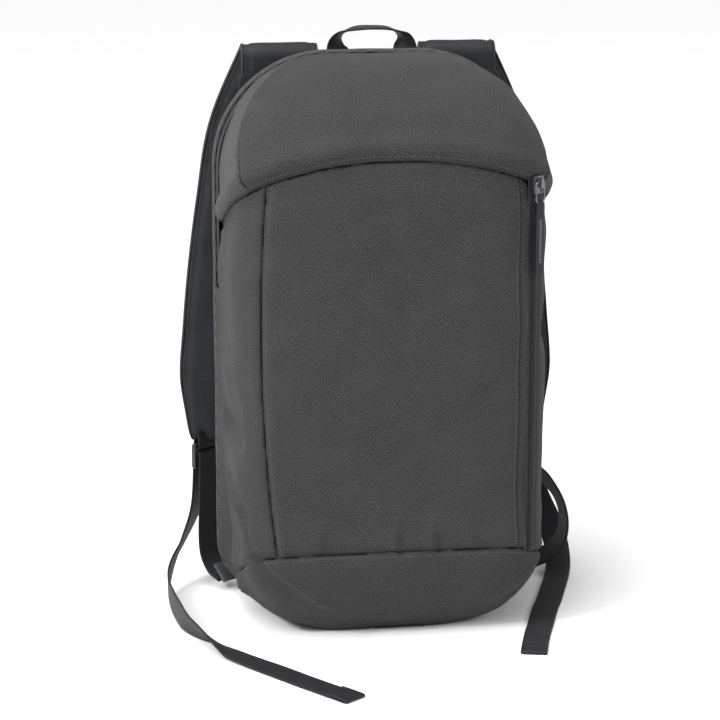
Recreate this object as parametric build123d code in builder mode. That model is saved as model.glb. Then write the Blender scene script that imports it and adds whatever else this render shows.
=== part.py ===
from build123d import *
import os
from math import asin, cos, degrees, hypot, pi, radians, sin, tan

os.makedirs("parts", exist_ok=True)

# A small daypack of about ten litres, standing on its base, back face towards +Y.
# Millimetres, +Z up, origin at the middle of the face it rests on.

# Bag outline, seen from the front
HALF_WIDTH = 123
HEIGHT = 430
CROWN_X = 35                     # centres of the two crown arcs
CROWN_Z = 342
BASE_CORNER = 45                 # radius of the two bottom corners
# Bag outline, seen from the side
FRONT_Y = -73
BACK_Y = 73
FLOOR_FRONT_Y = -38              # where the base leaves the floor
BASE_TOP_Z = 72
HOOD_START_Z = 367
HOOD_MIDDLE = (-35, 412.7)
BASE_MIDDLE = (-63.8, 32)
CROWN_START_Y = 22
# Bag outline, seen from above
CORNER_X = 85
CORNER_Y = -27
CORNER_RADIUS = 38
MARGIN = 20                      # how far a cutting form runs past the bag
OVERRUN = 0.6
# Fabric
WALL = 2.2                       # outer fabric with its backing
REAR_STEP = 1.2                  # the back gusset sits this far inside the front outline
SIDE_SEAM_X = -99                # left seam of the front pocket
HOOD_SLOPE = -0.57               # rise of the hood seam per mm towards the back
BASE_SLOPE = -0.459
# Rear gusset and the opening of the main compartment
OPENING_Y = 47
GUSSET_Y = 59
PANEL_Y = 70
OPENING_END_Z = 250
MAIN_ZIP_Y = 53
# Zips
ZIP_ANGLE = 30                   # how far round the front corner the pocket zip sits
SLOT_HALF = 6.5
PLACKET = 6
TAPE_TOP = 0.8                   # depth of a tape under the fabric's face
TAPE_THICK = 1.0
COIL_INNER = 0.8
COIL_OUTER = 1.7
COIL_PROUD = 0.8
SLIDER_WIDTH = 8.6
SLIDER_LENGTH = 13
FRONT_SLIDER_Z = 345
PULL_AXIS_OUT = 4.2              # pull ring's axis, outside the face
PULL_AXIS_UP = 2                 # and above the slider's middle
RING_WIRE = 0.6
RING_HALF = 3.9
RING_DROP = 15
TAB_WIDTH = 6.5
TAB_THICK = 2.2
TAB_LENGTH = 52
# Shoulder straps
STRAP_FRONT_Y = 87
STRAP_THICK = 7
SHELL_THICK = 1.4                # each face fabric of a strap
BINDING = 2
STRAP_TOP_Z = 424
STRAP_END_Z = 121
FOLD_Y = 84                      # axis that a strap turns about, at the top
FOLD_INNER = 3
STRAP_INNER_X = 40
STRAP_OUTER_X = 98
# Webbing
WEB_WIDTH = 20
WEB_THICK = 1.5
LOCK_POINT = (129, 90.5, 107)
LOCK_SIZE = (27, 20, 4.2)
LOCK_WIDTH_DIR = (-0.8, 0.6, 0)
TAIL_DIAMETER = 6.2              # round tube with the webbing's own section area
TIP_LENGTH = 14
TIP_THICK = 3.2
# Haul loop
HAUL_AXIS_Z = 410.6
HAUL_FEET_X = (-22, 26)
HAUL_Y = 76.6

SIDES = {"left": -1, "right": 1}


def finish(builder, name):
    """Label a finished piece and write its file."""
    builder.part.label = name
    export_step(builder.part, f"parts/{name}.step")


def mirrored(point, side):
    """The point on the wanted side of the bag, given for the right side."""
    return (side * point[0], point[1], point[2])


# ---------------------------------------------------------------- closed forms of the bag

rise = -CORNER_Y
reach = -FRONT_Y - CORNER_RADIUS
FRONT_CENTRE_Y = (CORNER_X**2 + rise**2 - reach**2) / (2 * (reach - rise))
FRONT_RADIUS = FRONT_CENTRE_Y - FRONT_Y
FRONT_TURN = asin(CORNER_X / (FRONT_RADIUS - CORNER_RADIUS))


def outline_slab(inset, front_y, rear_y):
    """Slab with the bag's front-view outline, drawn in by inset."""
    with BuildPart() as slab:
        with BuildSketch(Plane.XZ.offset(-rear_y)):
            with Locations((CROWN_X, CROWN_Z), (-CROWN_X, CROWN_Z)):
                Circle(HEIGHT - CROWN_Z - inset)
            low_x = HALF_WIDTH - BASE_CORNER
            with Locations((low_x, BASE_CORNER), (-low_x, BASE_CORNER)):
                Circle(BASE_CORNER - inset)
            make_hull()
        extrude(amount=rear_y - front_y)
    return slab.part


def bag_form(inset):
    """The whole bag as one closed form, its front, top, base and sides drawn in by inset.

    The side and plan profiles run OVERRUN past the outline slab, so that they cross its faces.
    """
    front = FRONT_Y + inset
    diagonal = inset * 0.7
    corner = CORNER_RADIUS - inset
    turn_x = CORNER_X + corner * sin(FRONT_TURN)
    turn_y = CORNER_Y - corner * cos(FRONT_TURN)
    mid_turn = (pi / 2 - FRONT_TURN) / 2
    mid_x = CORNER_X + corner * cos(mid_turn)
    mid_y = CORNER_Y - corner * sin(mid_turn)
    side = HALF_WIDTH - inset + OVERRUN
    crown = (CROWN_START_Y, HEIGHT - inset + OVERRUN)
    heel = (FLOOR_FRONT_Y, inset - OVERRUN)
    brow = (front - OVERRUN, HOOD_START_Z)
    chin = (front - OVERRUN, BASE_TOP_Z)
    wide = HALF_WIDTH + MARGIN
    deep = BACK_Y + MARGIN
    slab = outline_slab(inset, FRONT_Y, BACK_Y)
    with BuildPart() as form:
        with BuildSketch(Plane.YZ):
            with BuildLine():
                ThreePointArc(crown, (HOOD_MIDDLE[0] + diagonal, HOOD_MIDDLE[1] - diagonal),
                              brow)
                Line(brow, chin)
                ThreePointArc(chin, (BASE_MIDDLE[0] + diagonal, BASE_MIDDLE[1] + diagonal), heel)
                Polyline(heel, (FLOOR_FRONT_Y, -MARGIN), (deep, -MARGIN), (deep, HEIGHT + MARGIN),
                         (CROWN_START_Y, HEIGHT + MARGIN), crown)
            make_face()
        extrude(amount=wide, both=True)
        with BuildSketch(Plane.XY):
            with BuildLine():
                ThreePointArc((-side, CORNER_Y + 2), (-mid_x, mid_y), (-turn_x, turn_y))
                ThreePointArc((-turn_x, turn_y), (0, front), (turn_x, turn_y))
                ThreePointArc((turn_x, turn_y), (mid_x, mid_y), (side, CORNER_Y + 2))
                Polyline((side, CORNER_Y + 2), (wide, CORNER_Y + 2), (wide, deep), (-wide, deep),
                         (-wide, CORNER_Y + 2), (-side, CORNER_Y + 2))
            make_face()
        extrude(amount=HEIGHT + MARGIN, both=True, mode=Mode.INTERSECT)
        add(slab, mode=Mode.INTERSECT)
    return form.part


hood_cut = Plane(origin=(0, FRONT_Y, HOOD_START_Z), x_dir=(1, 0, 0), z_dir=(0, -HOOD_SLOPE, 1))
base_cut = Plane(origin=(0, FRONT_Y, BASE_TOP_Z), x_dir=(1, 0, 0), z_dir=(0, -BASE_SLOPE, 1))
opening_cut = Plane(origin=(0, OPENING_Y, 0), x_dir=(1, 0, 0), z_dir=(0, 1, 0))
gusset_cut = Plane(origin=(0, GUSSET_Y, 0), x_dir=(1, 0, 0), z_dir=(0, 1, 0))
side_cut = Plane(origin=(SIDE_SEAM_X, 0, 0), x_dir=(0, 1, 0), z_dir=(1, 0, 0))


def ridge_cut(side):
    """Plane of the seam between the hood and an upper gusset, facing the middle."""
    back = Vector(side * 71, OPENING_Y, 423)
    front = Vector(side * 118, -60, 340)
    across = Vector(side * 0.7, -0.2, 0.65)
    facing = (front - back).cross(across)
    if facing.X * side > 0:
        facing = -facing
    return Plane(origin=back, x_dir=front - back, z_dir=facing)


zip_along = Vector(cos(radians(ZIP_ANGLE)), sin(radians(ZIP_ANGLE)), 0)
zip_face = Vector(CORNER_X + CORNER_RADIUS * sin(radians(ZIP_ANGLE)),
                  CORNER_Y - CORNER_RADIUS * cos(radians(ZIP_ANGLE)), 0)


def zip_cut(distance):
    """Plane across the corner, a distance to the right of the pocket zip."""
    return Plane(origin=zip_face + zip_along * distance, x_dir=(0, 0, 1), z_dir=zip_along)


outer_form = bag_form(0)
inner_form = bag_form(WALL)

# ---------------------------------------------------------------- outer fabric panels

shell_panels = {
    "front_panel": [(side_cut, Keep.TOP), (zip_cut(-SLOT_HALF - PLACKET), Keep.BOTTOM),
                    (hood_cut, Keep.BOTTOM), (base_cut, Keep.TOP), (Plane.XZ, Keep.TOP)],
    "zip_placket": [(zip_cut(-SLOT_HALF - PLACKET), Keep.TOP), (zip_cut(-SLOT_HALF), Keep.BOTTOM),
                    (hood_cut, Keep.BOTTOM), (base_cut, Keep.TOP)],
    "hood_panel": [(hood_cut, Keep.TOP), (opening_cut, Keep.BOTTOM),
                   (ridge_cut(-1), Keep.TOP), (ridge_cut(1), Keep.TOP)],
    "upper_gusset_left": [(hood_cut, Keep.TOP), (opening_cut, Keep.BOTTOM),
                          (ridge_cut(-1), Keep.BOTTOM)],
    "upper_gusset_right": [(hood_cut, Keep.TOP), (opening_cut, Keep.BOTTOM),
                           (ridge_cut(1), Keep.BOTTOM)],
    "base_panel": [(base_cut, Keep.BOTTOM), (gusset_cut, Keep.BOTTOM)],
    "side_panel_left": [(hood_cut, Keep.BOTTOM), (base_cut, Keep.TOP),
                        (side_cut, Keep.BOTTOM), (gusset_cut, Keep.BOTTOM)],
    "side_panel_right": [(hood_cut, Keep.BOTTOM), (base_cut, Keep.TOP),
                         (zip_cut(SLOT_HALF), Keep.TOP), (gusset_cut, Keep.BOTTOM)],
}
for panel_name, cuts in shell_panels.items():
    with BuildPart() as panel:
        add(outer_form)
        add(inner_form, mode=Mode.SUBTRACT)
        for plane, keep in cuts:
            split(bisect_by=plane, keep=keep)
        if panel_name.startswith("side_panel"):
            # the main opening takes the top of the panel's rear edge
            with Locations((0, (OPENING_Y + GUSSET_Y) / 2, OPENING_END_Z + 100)):
                Box(2 * HALF_WIDTH + 2, GUSSET_Y - OPENING_Y, 200, mode=Mode.SUBTRACT)
    finish(panel, panel_name)

# ---------------------------------------------------------------- back gusset and back panel

gusset_outer = outline_slab(REAR_STEP, GUSSET_Y, PANEL_Y)
gusset_inner = outline_slab(REAR_STEP + WALL, GUSSET_Y, PANEL_Y)
with BuildPart() as back_gusset:
    add(gusset_outer)
    add(gusset_inner, mode=Mode.SUBTRACT)
finish(back_gusset, "back_gusset")

panel_slab = outline_slab(REAR_STEP, PANEL_Y, BACK_Y)
with BuildPart() as back_panel:
    add(panel_slab)
finish(back_panel, "back_panel")

# ---------------------------------------------------------------- inside the bag

LINING_GAP = 5.6
LINING = 0.8
POCKET_WALL_Y = -48.4
POCKET_WALL = 1.6
lining_outer = bag_form(LINING_GAP)
lining_inner = bag_form(LINING_GAP + LINING)
with BuildPart() as main_lining:
    add(lining_outer)
    add(lining_inner, mode=Mode.SUBTRACT)
    split(bisect_by=Plane.XZ.offset(-POCKET_WALL_Y), keep=Keep.BOTTOM)
    split(bisect_by=Plane.XZ.offset(-64), keep=Keep.TOP)
finish(main_lining, "main_lining")

with BuildPart() as pocket_wall:
    add(lining_outer)
    split(bisect_by=Plane.XZ.offset(-POCKET_WALL_Y), keep=Keep.TOP)
    split(bisect_by=Plane.XZ.offset(-POCKET_WALL_Y + POCKET_WALL), keep=Keep.BOTTOM)
finish(pocket_wall, "pocket_wall")

foam_slab = outline_slab(REAR_STEP + WALL + 1, 64.4, 69.8)
with BuildPart() as back_foam:
    add(foam_slab)
finish(back_foam, "back_foam")

with BuildPart() as base_pad:
    with BuildSketch(Plane.XY.offset(WALL + 0.1)):
        with Locations((0, 10)):
            RectangleRounded(140, 80, 12)
    extrude(amount=3)
finish(base_pad, "base_pad")

# ---------------------------------------------------------------- back pad and yoke

with BuildPart() as back_pad:
    with BuildSketch(Plane.XZ.offset(-79)):
        with Locations((0, 201)):
            RectangleRounded(190, 322, 24)
    extrude(amount=6)
    fillet(back_pad.faces().sort_by(Axis.Y)[-1].edges(), radius=2.4)
finish(back_pad, "back_pad")

with BuildPart() as yoke:
    with BuildSketch(Plane.XZ.offset(-75.5)):
        with Locations((0, 389)):
            Trapezoid(204, 46, 80, align=(Align.CENTER, Align.CENTER))
    extrude(amount=2.5)
finish(yoke, "yoke")

# ---------------------------------------------------------------- pocket zip


def corner_strip(name, from_along, to_along, top_depth, bottom_depth):
    """Upright strip that follows the bag's corner beside the pocket zip."""
    with BuildPart() as strip:
        with BuildSketch(Plane.XY):
            with Locations((CORNER_X, CORNER_Y)):
                Circle(CORNER_RADIUS - top_depth)
                Circle(CORNER_RADIUS - bottom_depth, mode=Mode.SUBTRACT)
            window = Plane(origin=zip_face, x_dir=zip_along, z_dir=(0, 0, 1))
            corners = [(from_along, -5), (to_along, -5), (to_along, 5), (from_along, 5)]
            with BuildLine():
                Polyline(*[window.from_local_coords((a, b, 0)) for a, b in corners], close=True)
            make_face(mode=Mode.INTERSECT)
        extrude(amount=HEIGHT)
        split(bisect_by=hood_cut, keep=Keep.BOTTOM)
        split(bisect_by=base_cut, keep=Keep.TOP)
    return strip


tape_depths = (TAPE_TOP, TAPE_TOP + TAPE_THICK)
left_tape = corner_strip("tape", -SLOT_HALF, -COIL_INNER, *tape_depths)
finish(left_tape, "front_zip_tape_left")
right_tape = corner_strip("tape", COIL_INNER, SLOT_HALF, *tape_depths)
finish(right_tape, "front_zip_tape_right")

left_coil = corner_strip("coil", -COIL_OUTER, -COIL_INNER, -COIL_PROUD, TAPE_TOP)
right_coil = corner_strip("coil", COIL_INNER, COIL_OUTER, -COIL_PROUD, TAPE_TOP)
with BuildPart() as front_coil:
    add(left_coil.part)
    add(right_coil.part)
finish(front_coil, "front_zip_coil")

# ---------------------------------------------------------------- sliders and pulls


def zip_slider(place, name):
    """Slider round a zip: place has x across the zip, y into the bag and z along the zip."""
    half = SLIDER_WIDTH / 2
    low = place.offset(-SLIDER_LENGTH / 2)
    with BuildPart() as slider:
        with BuildSketch(low):
            with Locations((0, -1.9), (0, 3.1)):
                Rectangle(SLIDER_WIDTH, 1.4)
            with Locations((-half + 1.1, -0.4), (half - 1.1, -0.4)):
                Rectangle(2.2, 1.6)
        extrude(amount=SLIDER_LENGTH)
        with BuildSketch(place.offset(SLIDER_LENGTH / 2 - 3)):
            with Locations((0, 0.6)):
                Rectangle(0.8, 3.8)
        extrude(amount=3)
        with BuildSketch(place.offset(PULL_AXIS_UP - 3.6)):
            with Locations((0, -4.6)):
                Rectangle(2.4, 4.4)
        extrude(amount=7.2)
        hole_plane = Plane(origin=place.from_local_coords((-2, -PULL_AXIS_OUT, PULL_AXIS_UP)),
                           x_dir=place.z_dir, z_dir=place.x_dir)
        with BuildSketch(hole_plane):
            Circle(1.3)
        extrude(amount=4, mode=Mode.SUBTRACT)
    finish(slider, name)


def pull_ring(place, name):
    """Wire ring through the slider's crown."""
    axis_point = place.from_local_coords((0, -PULL_AXIS_OUT, PULL_AXIS_UP))
    flat = Plane(origin=axis_point, x_dir=place.x_dir, z_dir=-place.y_dir)
    with BuildPart() as ring:
        with BuildLine(flat) as loop:
            FilletPolyline((RING_HALF, 0), (RING_HALF, -RING_DROP), (-RING_HALF, -RING_DROP),
                           (-RING_HALF, 0), radius=(1.2, 2.6, 2.6, 1.2), close=True)
        with BuildSketch(Plane(origin=loop.line @ 0, z_dir=loop.line % 0)):
            Circle(RING_WIRE)
        sweep()
    finish(ring, name)


def pull_tab(place, name):
    """Woven tab folded round the ring's lower bar."""
    eye = place.from_local_coords((0, -PULL_AXIS_OUT, PULL_AXIS_UP - RING_DROP))
    back = Plane(origin=eye + place.y_dir * (TAB_THICK / 2), x_dir=place.x_dir, z_dir=-place.y_dir)
    across = Plane(origin=eye - place.x_dir * TAB_WIDTH, x_dir=place.z_dir, z_dir=place.x_dir)
    with BuildPart() as tab:
        with BuildSketch(back):
            with Locations((0, -0.4)):
                Rectangle(4.6, 4)
            with Locations((0, -2.2 - TAB_LENGTH / 2)):
                RectangleRounded(TAB_WIDTH, TAB_LENGTH, 0.8)
        extrude(amount=TAB_THICK)
        with BuildSketch(across):
            Circle(0.85)
        extrude(amount=2 * TAB_WIDTH, mode=Mode.SUBTRACT)
    finish(tab, name)


front_place = Plane(origin=zip_face + Vector(0, 0, FRONT_SLIDER_Z), x_dir=zip_along, z_dir=(0, 0, 1))
MAIN_FACE = 2.2 - TAPE_TOP       # inset of the main zip's face from the bag's outline
main_place = Plane(origin=(HALF_WIDTH - MAIN_FACE, MAIN_ZIP_Y, CROWN_Z), x_dir=(0, 1, 0),
                   z_dir=(0, 0, 1))
for zip_name, place in (("front", front_place), ("main", main_place)):
    zip_slider(place, f"{zip_name}_zip_slider")
    pull_ring(place, f"{zip_name}_pull_ring")
    pull_tab(place, f"{zip_name}_pull_tab")

# ---------------------------------------------------------------- main zip


def opening_strips(name, strips):
    """Strips that follow the bag's outline up one side, over the crown and down the other."""
    slabs = [(outline_slab(top, front, rear), outline_slab(low, front, rear))
             for front, rear, top, low in strips]
    with BuildPart() as piece:
        for outer, inner in slabs:
            with BuildPart(mode=Mode.PRIVATE) as band:
                add(outer)
                add(inner, mode=Mode.SUBTRACT)
            add(band.part)
        split(bisect_by=Plane.XY.offset(OPENING_END_Z), keep=Keep.TOP)
    finish(piece, name)


coil_y = (MAIN_ZIP_Y - COIL_OUTER, MAIN_ZIP_Y - COIL_INNER, MAIN_ZIP_Y + COIL_INNER,
          MAIN_ZIP_Y + COIL_OUTER)
tape_low = WALL + 1.2
opening_strips("main_zip_tape_front", [(OPENING_Y - 4, coil_y[1], WALL, tape_low)])
opening_strips("main_zip_tape_back", [(coil_y[2], GUSSET_Y, WALL, tape_low)])
opening_strips("main_zip_coil", [(coil_y[0], coil_y[1], WALL - 1.6, WALL),
                                 (coil_y[2], coil_y[3], WALL - 1.6, WALL)])

# ---------------------------------------------------------------- shoulder straps

strap_outer_edge = [(STRAP_OUTER_X, STRAP_TOP_Z), (124, 363), (133, 312), (145, 213), (148, 158),
                    (142, STRAP_END_Z)]
strap_inner_edge = [(118, STRAP_END_Z), (94, 158), (87, 213), (75, 312), (66, 363),
                    (STRAP_INNER_X, STRAP_TOP_Z)]


def strap_slab(side, inset, front_y, rear_y):
    """Slab with a strap's outline, drawn in by inset along both edges."""
    outer = [(side * (x - inset), z) for x, z in strap_outer_edge]
    inner = [(side * (x + inset), z) for x, z in strap_inner_edge]
    with BuildPart() as slab:
        with BuildSketch(Plane.XZ.offset(-rear_y)):
            with BuildLine():
                Spline(*outer)
                Line(outer[-1], inner[0])
                Spline(*inner)
                Line(inner[-1], outer[0])
            make_face()
        extrude(amount=rear_y - front_y)
    return slab.part


def fold_sector(side, start, end):
    """Part of the fold at the top of a strap, between two angles from the back."""
    fold_plane = Plane(origin=(side * STRAP_INNER_X, FOLD_Y, STRAP_TOP_Z), x_dir=(0, 1, 0),
                       z_dir=(1, 0, 0))
    outer = FOLD_INNER + STRAP_THICK
    rays = [(outer * cos(radians(a)), outer * sin(radians(a))) for a in (start, (start + end) / 2, end)]
    roots = [(x * FOLD_INNER / outer, z * FOLD_INNER / outer) for x, z in rays]
    with BuildPart() as sector:
        with BuildSketch(fold_plane):
            with BuildLine():
                ThreePointArc(*rays)
                Line(rays[2], roots[2])
                ThreePointArc(*reversed(roots))
                Line(roots[0], rays[0])
            make_face()
        extrude(amount=side * (STRAP_OUTER_X - STRAP_INNER_X))
    return sector.part


STRAP_REAR_Y = STRAP_FRONT_Y + STRAP_THICK
FOLD_ROOT = 78                   # the sewn half of the fold starts at this angle
FOLD_END = 60                    # and the strap's own half ends at this one
for side_name, side in SIDES.items():
    sewn_fold = fold_sector(side, FOLD_ROOT, 180)
    with BuildPart() as strap_root:
        add(sewn_fold)
        with Locations((side * (STRAP_INNER_X + STRAP_OUTER_X) / 2, 78.25, STRAP_TOP_Z - 14)):
            Box(STRAP_OUTER_X - STRAP_INNER_X, 5.5, 28)
    finish(strap_root, f"strap_root_{side_name}")

    layers = {"strap_lining": (STRAP_FRONT_Y, STRAP_FRONT_Y + SHELL_THICK),
              "strap_foam": (STRAP_FRONT_Y + SHELL_THICK, STRAP_REAR_Y - SHELL_THICK)}
    for layer_name, (front_y, rear_y) in layers.items():
        layer_slab = strap_slab(side, BINDING, front_y, rear_y)
        with BuildPart() as layer:
            add(layer_slab)
        finish(layer, f"{layer_name}_{side_name}")

    face_slab = strap_slab(side, BINDING, STRAP_REAR_Y - SHELL_THICK, STRAP_REAR_Y)
    strap_fold = fold_sector(side, 0, FOLD_END)
    with BuildPart() as strap_face:
        add(face_slab)
        add(strap_fold)
    finish(strap_face, f"strap_face_{side_name}")

    edge_outer = strap_slab(side, 0, STRAP_FRONT_Y, STRAP_REAR_Y)
    edge_inner = strap_slab(side, BINDING, STRAP_FRONT_Y, STRAP_REAR_Y)
    with BuildPart() as strap_binding:
        add(edge_outer)
        add(edge_inner, mode=Mode.SUBTRACT)
    finish(strap_binding, f"strap_binding_{side_name}")

# ---------------------------------------------------------------- webbing


def ribbon(stations, width, thickness):
    """Flat band through stations, each a point and the direction of the band's width."""
    points = [Vector(*point) for point, across in stations]
    with BuildPart() as band:
        for i, (point, across) in enumerate(stations):
            along = points[min(i + 1, len(points) - 1)] - points[max(i - 1, 0)]
            with BuildSketch(Plane(origin=points[i], x_dir=across, z_dir=along)):
                Rectangle(width, thickness)
        loft(ruled=True)
    return band


lower_webbing_stations = {
    "left": [((-127.1, 87.5, 103), (0.8, 0.6, 0)), ((-127.6, 87.8, 70), (0.8, 0.6, 0)),
             ((-128.4, 88, 44), (0.8, 0.6, 0)), ((-127.3, 86.6, 26), (0.8, 0.6, 0)),
             ((-122.2, 80.4, 13.6), (0.8, 0.6, 0)), ((-115, 72.4, 8.4), (0.8, 0.6, 0))],
    "right": [((127.1, 87.5, 103), (-0.8, 0.6, 0)), ((127.8, 86.4, 96), (-0.8, 0.6, 0)),
              ((132, 83.5, 89), (-0.72, 0.69, 0)), ((143, 77.5, 80), (-0.5, 0.87, 0)),
              ((153, 71.5, 66), (-0.25, 0.97, 0)), ((157.5, 68, 50), (-0.15, 0.99, 0)),
              ((156, 67, 34), (-0.2, 0.98, 0)), ((149, 69, 21), (-0.4, 0.92, 0)),
              ((137, 74, 14), (-0.65, 0.76, 0)), ((126, 78.8, 11), (-0.8, 0.6, 0)),
              ((115, 72.4, 8.4), (-0.8, 0.6, 0))],
}

# Routes of the loose webbing tails, from the ladder lock to the tip on the floor
tail_routes = {
    "left": [(-131.5, 95.2, 98), (-133, 98, 78), (-137, 98.5, 58), (-147, 92, 38), (-158, 76, 22),
             (-165, 50, 12), (-168, 20, 6), (-165, -10, 4), (-155, -38, 3.2), (-138, -63, 3.2),
             (-119, -92, 3.2), (-97, -121, 3.2), (-75, -151, 3.2), (-55, -176, 3.2)],
    "right": [(131.5, 95.2, 98), (135, 99, 79), (143, 103, 58), (153, 104, 36), (159, 100, 17),
              (158, 86, 6.5), (152, 63, 3.6), (143, 36, 3.2), (134.2, 8, 3.2), (124, -20, 3.2),
              (114.5, -51, 3.2), (106, -77, 3.2), (100, -100, 3.2)],
}


def route_radii(route):
    """One radius for each corner: as large as the two runs beside it allow."""
    points = [Vector(*p) for p in route]
    radii = []
    for before, here, after in zip(points, points[1:], points[2:]):
        turn = radians((here - before).get_angle(after - here))
        shorter = min((here - before).length, (after - here).length)
        radii.append(0.45 * shorter / tan(turn / 2))
    return radii


for side_name, side in SIDES.items():
    lock_place = Plane(origin=mirrored(LOCK_POINT, side), x_dir=mirrored(LOCK_WIDTH_DIR, side),
                       z_dir=Vector(*mirrored(LOCK_WIDTH_DIR, side)).cross(Vector(0, 0, 1)))
    lock_width, lock_height, lock_thick = LOCK_SIZE
    with BuildPart() as ladder_lock:
        with BuildSketch(lock_place.offset(-lock_thick / 2)):
            RectangleRounded(lock_width, lock_height, 2)
            with Locations((0, 4), (0, -3.8)):
                Rectangle(WEB_WIDTH + 1.6, 4.6, mode=Mode.SUBTRACT)
        extrude(amount=lock_thick)
        fillet(ladder_lock.edges().filter_by(Axis.Z), radius=0.8)
    finish(ladder_lock, f"ladder_lock_{side_name}")

    lock_top = LOCK_POINT[2] + lock_height / 2
    end_stations = [(mirrored((129.5, 90.5, STRAP_END_Z), side), (1, 0, 0)),
                    (mirrored((129.5, 90.5, lock_top), side), (0.8, -0.6 * side, 0))]
    end_loop = ribbon(end_stations, WEB_WIDTH, 3)
    finish(end_loop, f"strap_end_loop_{side_name}")

    wing_root = mirrored((113, 69.7, 12), side)
    wing_tip = mirrored((118, 76.5, 20.4), side)
    wing_width = mirrored((0.8, -0.6, 0), side)
    anchor_wing = ribbon([(wing_root, wing_width), (wing_tip, wing_width)], 18, 1.6)
    finish(anchor_wing, f"anchor_wing_{side_name}")

    webbing = ribbon(lower_webbing_stations[side_name], WEB_WIDTH, WEB_THICK)
    finish(webbing, f"lower_webbing_{side_name}")

    route = tail_routes[side_name]
    radii = route_radii(route)
    with BuildPart() as tail:
        with BuildLine() as tail_line:
            FilletPolyline(*route, radius=radii)
        with BuildSketch(Plane(origin=tail_line.line @ 0, z_dir=tail_line.line % 0)):
            Circle(TAIL_DIAMETER / 2)
        sweep()
    finish(tail, f"webbing_tail_{side_name}")
    tail_length = sum(edge.length for edge in tail_line.edges())
    tube_volume = pi * TAIL_DIAMETER**2 / 4 * tail_length
    print(f"{side_name} tail: length {tail_length:.1f} mm, volume over section times length "
          f"{tail.part.volume / tube_volume:.4f}, radii {[round(r) for r in radii]}")

    end = Vector(*route[-1])
    heading = (end - Vector(*route[-2])).normalized()
    with BuildPart() as tip:
        tip_centre = end + heading * (TIP_LENGTH / 2)
        with BuildSketch(Plane(origin=(tip_centre.X, tip_centre.Y, 0.1), x_dir=heading,
                               z_dir=(0, 0, 1))):
            RectangleRounded(TIP_LENGTH, WEB_WIDTH, 0.8)
        extrude(amount=TIP_THICK)
    finish(tip, f"webbing_tip_{side_name}")

# ---------------------------------------------------------------- haul loop

left_foot, right_foot = HAUL_FEET_X
haul_stations = [
    ((left_foot, HAUL_Y, 411), (1, 0, 0)), ((-23, 77, 422), (0.97, 0.2, 0)),
    ((-25, 79, 432), (0.75, 0.66, 0)), ((-21, 80.5, 440), (0.35, 0.94, -0.1)),
    ((-10, 81, 444.5), (0.05, 1, 0)), ((4, 81, 445.5), (0, 1, 0)), ((17, 81, 444), (-0.1, 1, 0)),
    ((26, 80.5, 438.5), (-0.4, 0.92, 0)), ((28, 79, 430), (-0.8, 0.6, 0)),
    ((27, 77, 420), (-0.97, 0.2, 0)), ((right_foot, HAUL_Y, 411), (-1, 0, 0))]
haul_loop = ribbon(haul_stations, WEB_WIDTH, WEB_THICK)
finish(haul_loop, "haul_loop_webbing")

with BuildPart() as haul_anchors:
    for foot_x in HAUL_FEET_X:
        with Locations((foot_x, HAUL_Y, 398.25)):
            Box(WEB_WIDTH, WEB_THICK, 22.5)
finish(haul_anchors, "haul_loop_anchors")
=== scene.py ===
import math

import bmesh
import bpy
import numpy as np
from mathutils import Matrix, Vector, noise
from mathutils.bvhtree import BVHTree


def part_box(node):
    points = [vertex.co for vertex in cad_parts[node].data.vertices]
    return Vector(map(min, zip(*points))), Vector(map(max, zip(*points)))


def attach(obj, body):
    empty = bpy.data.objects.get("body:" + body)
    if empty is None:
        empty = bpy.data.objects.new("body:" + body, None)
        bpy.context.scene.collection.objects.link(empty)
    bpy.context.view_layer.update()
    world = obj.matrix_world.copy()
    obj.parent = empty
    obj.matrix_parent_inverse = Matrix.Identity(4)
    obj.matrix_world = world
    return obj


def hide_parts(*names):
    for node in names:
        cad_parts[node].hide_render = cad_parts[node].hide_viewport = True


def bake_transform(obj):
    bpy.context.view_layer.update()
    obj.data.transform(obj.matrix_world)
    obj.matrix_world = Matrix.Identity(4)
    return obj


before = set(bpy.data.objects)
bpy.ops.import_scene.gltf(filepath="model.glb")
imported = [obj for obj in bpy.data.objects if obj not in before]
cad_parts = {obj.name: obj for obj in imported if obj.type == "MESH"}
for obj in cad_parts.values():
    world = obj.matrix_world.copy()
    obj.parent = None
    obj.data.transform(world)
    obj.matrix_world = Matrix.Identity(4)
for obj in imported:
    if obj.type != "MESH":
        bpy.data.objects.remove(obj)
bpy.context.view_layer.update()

scene = bpy.context.scene
MM = 0.001

# ------------------------------------------------------------------ sizes in millimetres


def corner(node, end, axis):
    """One coordinate of a CAD node's lowest (0) or highest (1) corner."""
    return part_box(node)[end][axis] / MM


HALF_WIDTH = corner("base_panel", 1, 0)
HEIGHT = corner("hood_panel", 1, 2)
FRONT_Y = -73.0
OPENING_Y = corner("hood_panel", 1, 1)
GUSSET_Y = corner("back_gusset", 0, 1)
PANEL_Y = corner("back_panel", 0, 1)
BACK_Y = corner("back_panel", 1, 1)
MAIN_ZIP_Y = 53.0
OPENING_END_Z = corner("main_zip_tape_back", 0, 2)
SIDE_SEAM_X = corner("front_panel", 0, 0)
CROWN_RADIUS = 88.0
BASE_CORNER = 45.0
FLOOR_FRONT_Y = -38.0
BASE_TOP_Z = 72.0
HOOD_Z = 367.0                  # hood seam at the middle of the front
HOOD_FALL = -0.373              # its fall per mm towards the back
HOOD_ARCH = 0.00152             # and its droop towards the sides, over the square of x
BASE_FALL = -0.459
ZIP_POINT = Vector((104.0, -59.909, 0))
ZIP_ALONG = Vector((math.cos(math.radians(30)), 0.5, 0))
ZIP_GAP = 4.6                   # from the zip's middle to the folded fabric edge
PLACKET = 8.0

# ------------------------------------------------------------------ finishes


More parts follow.
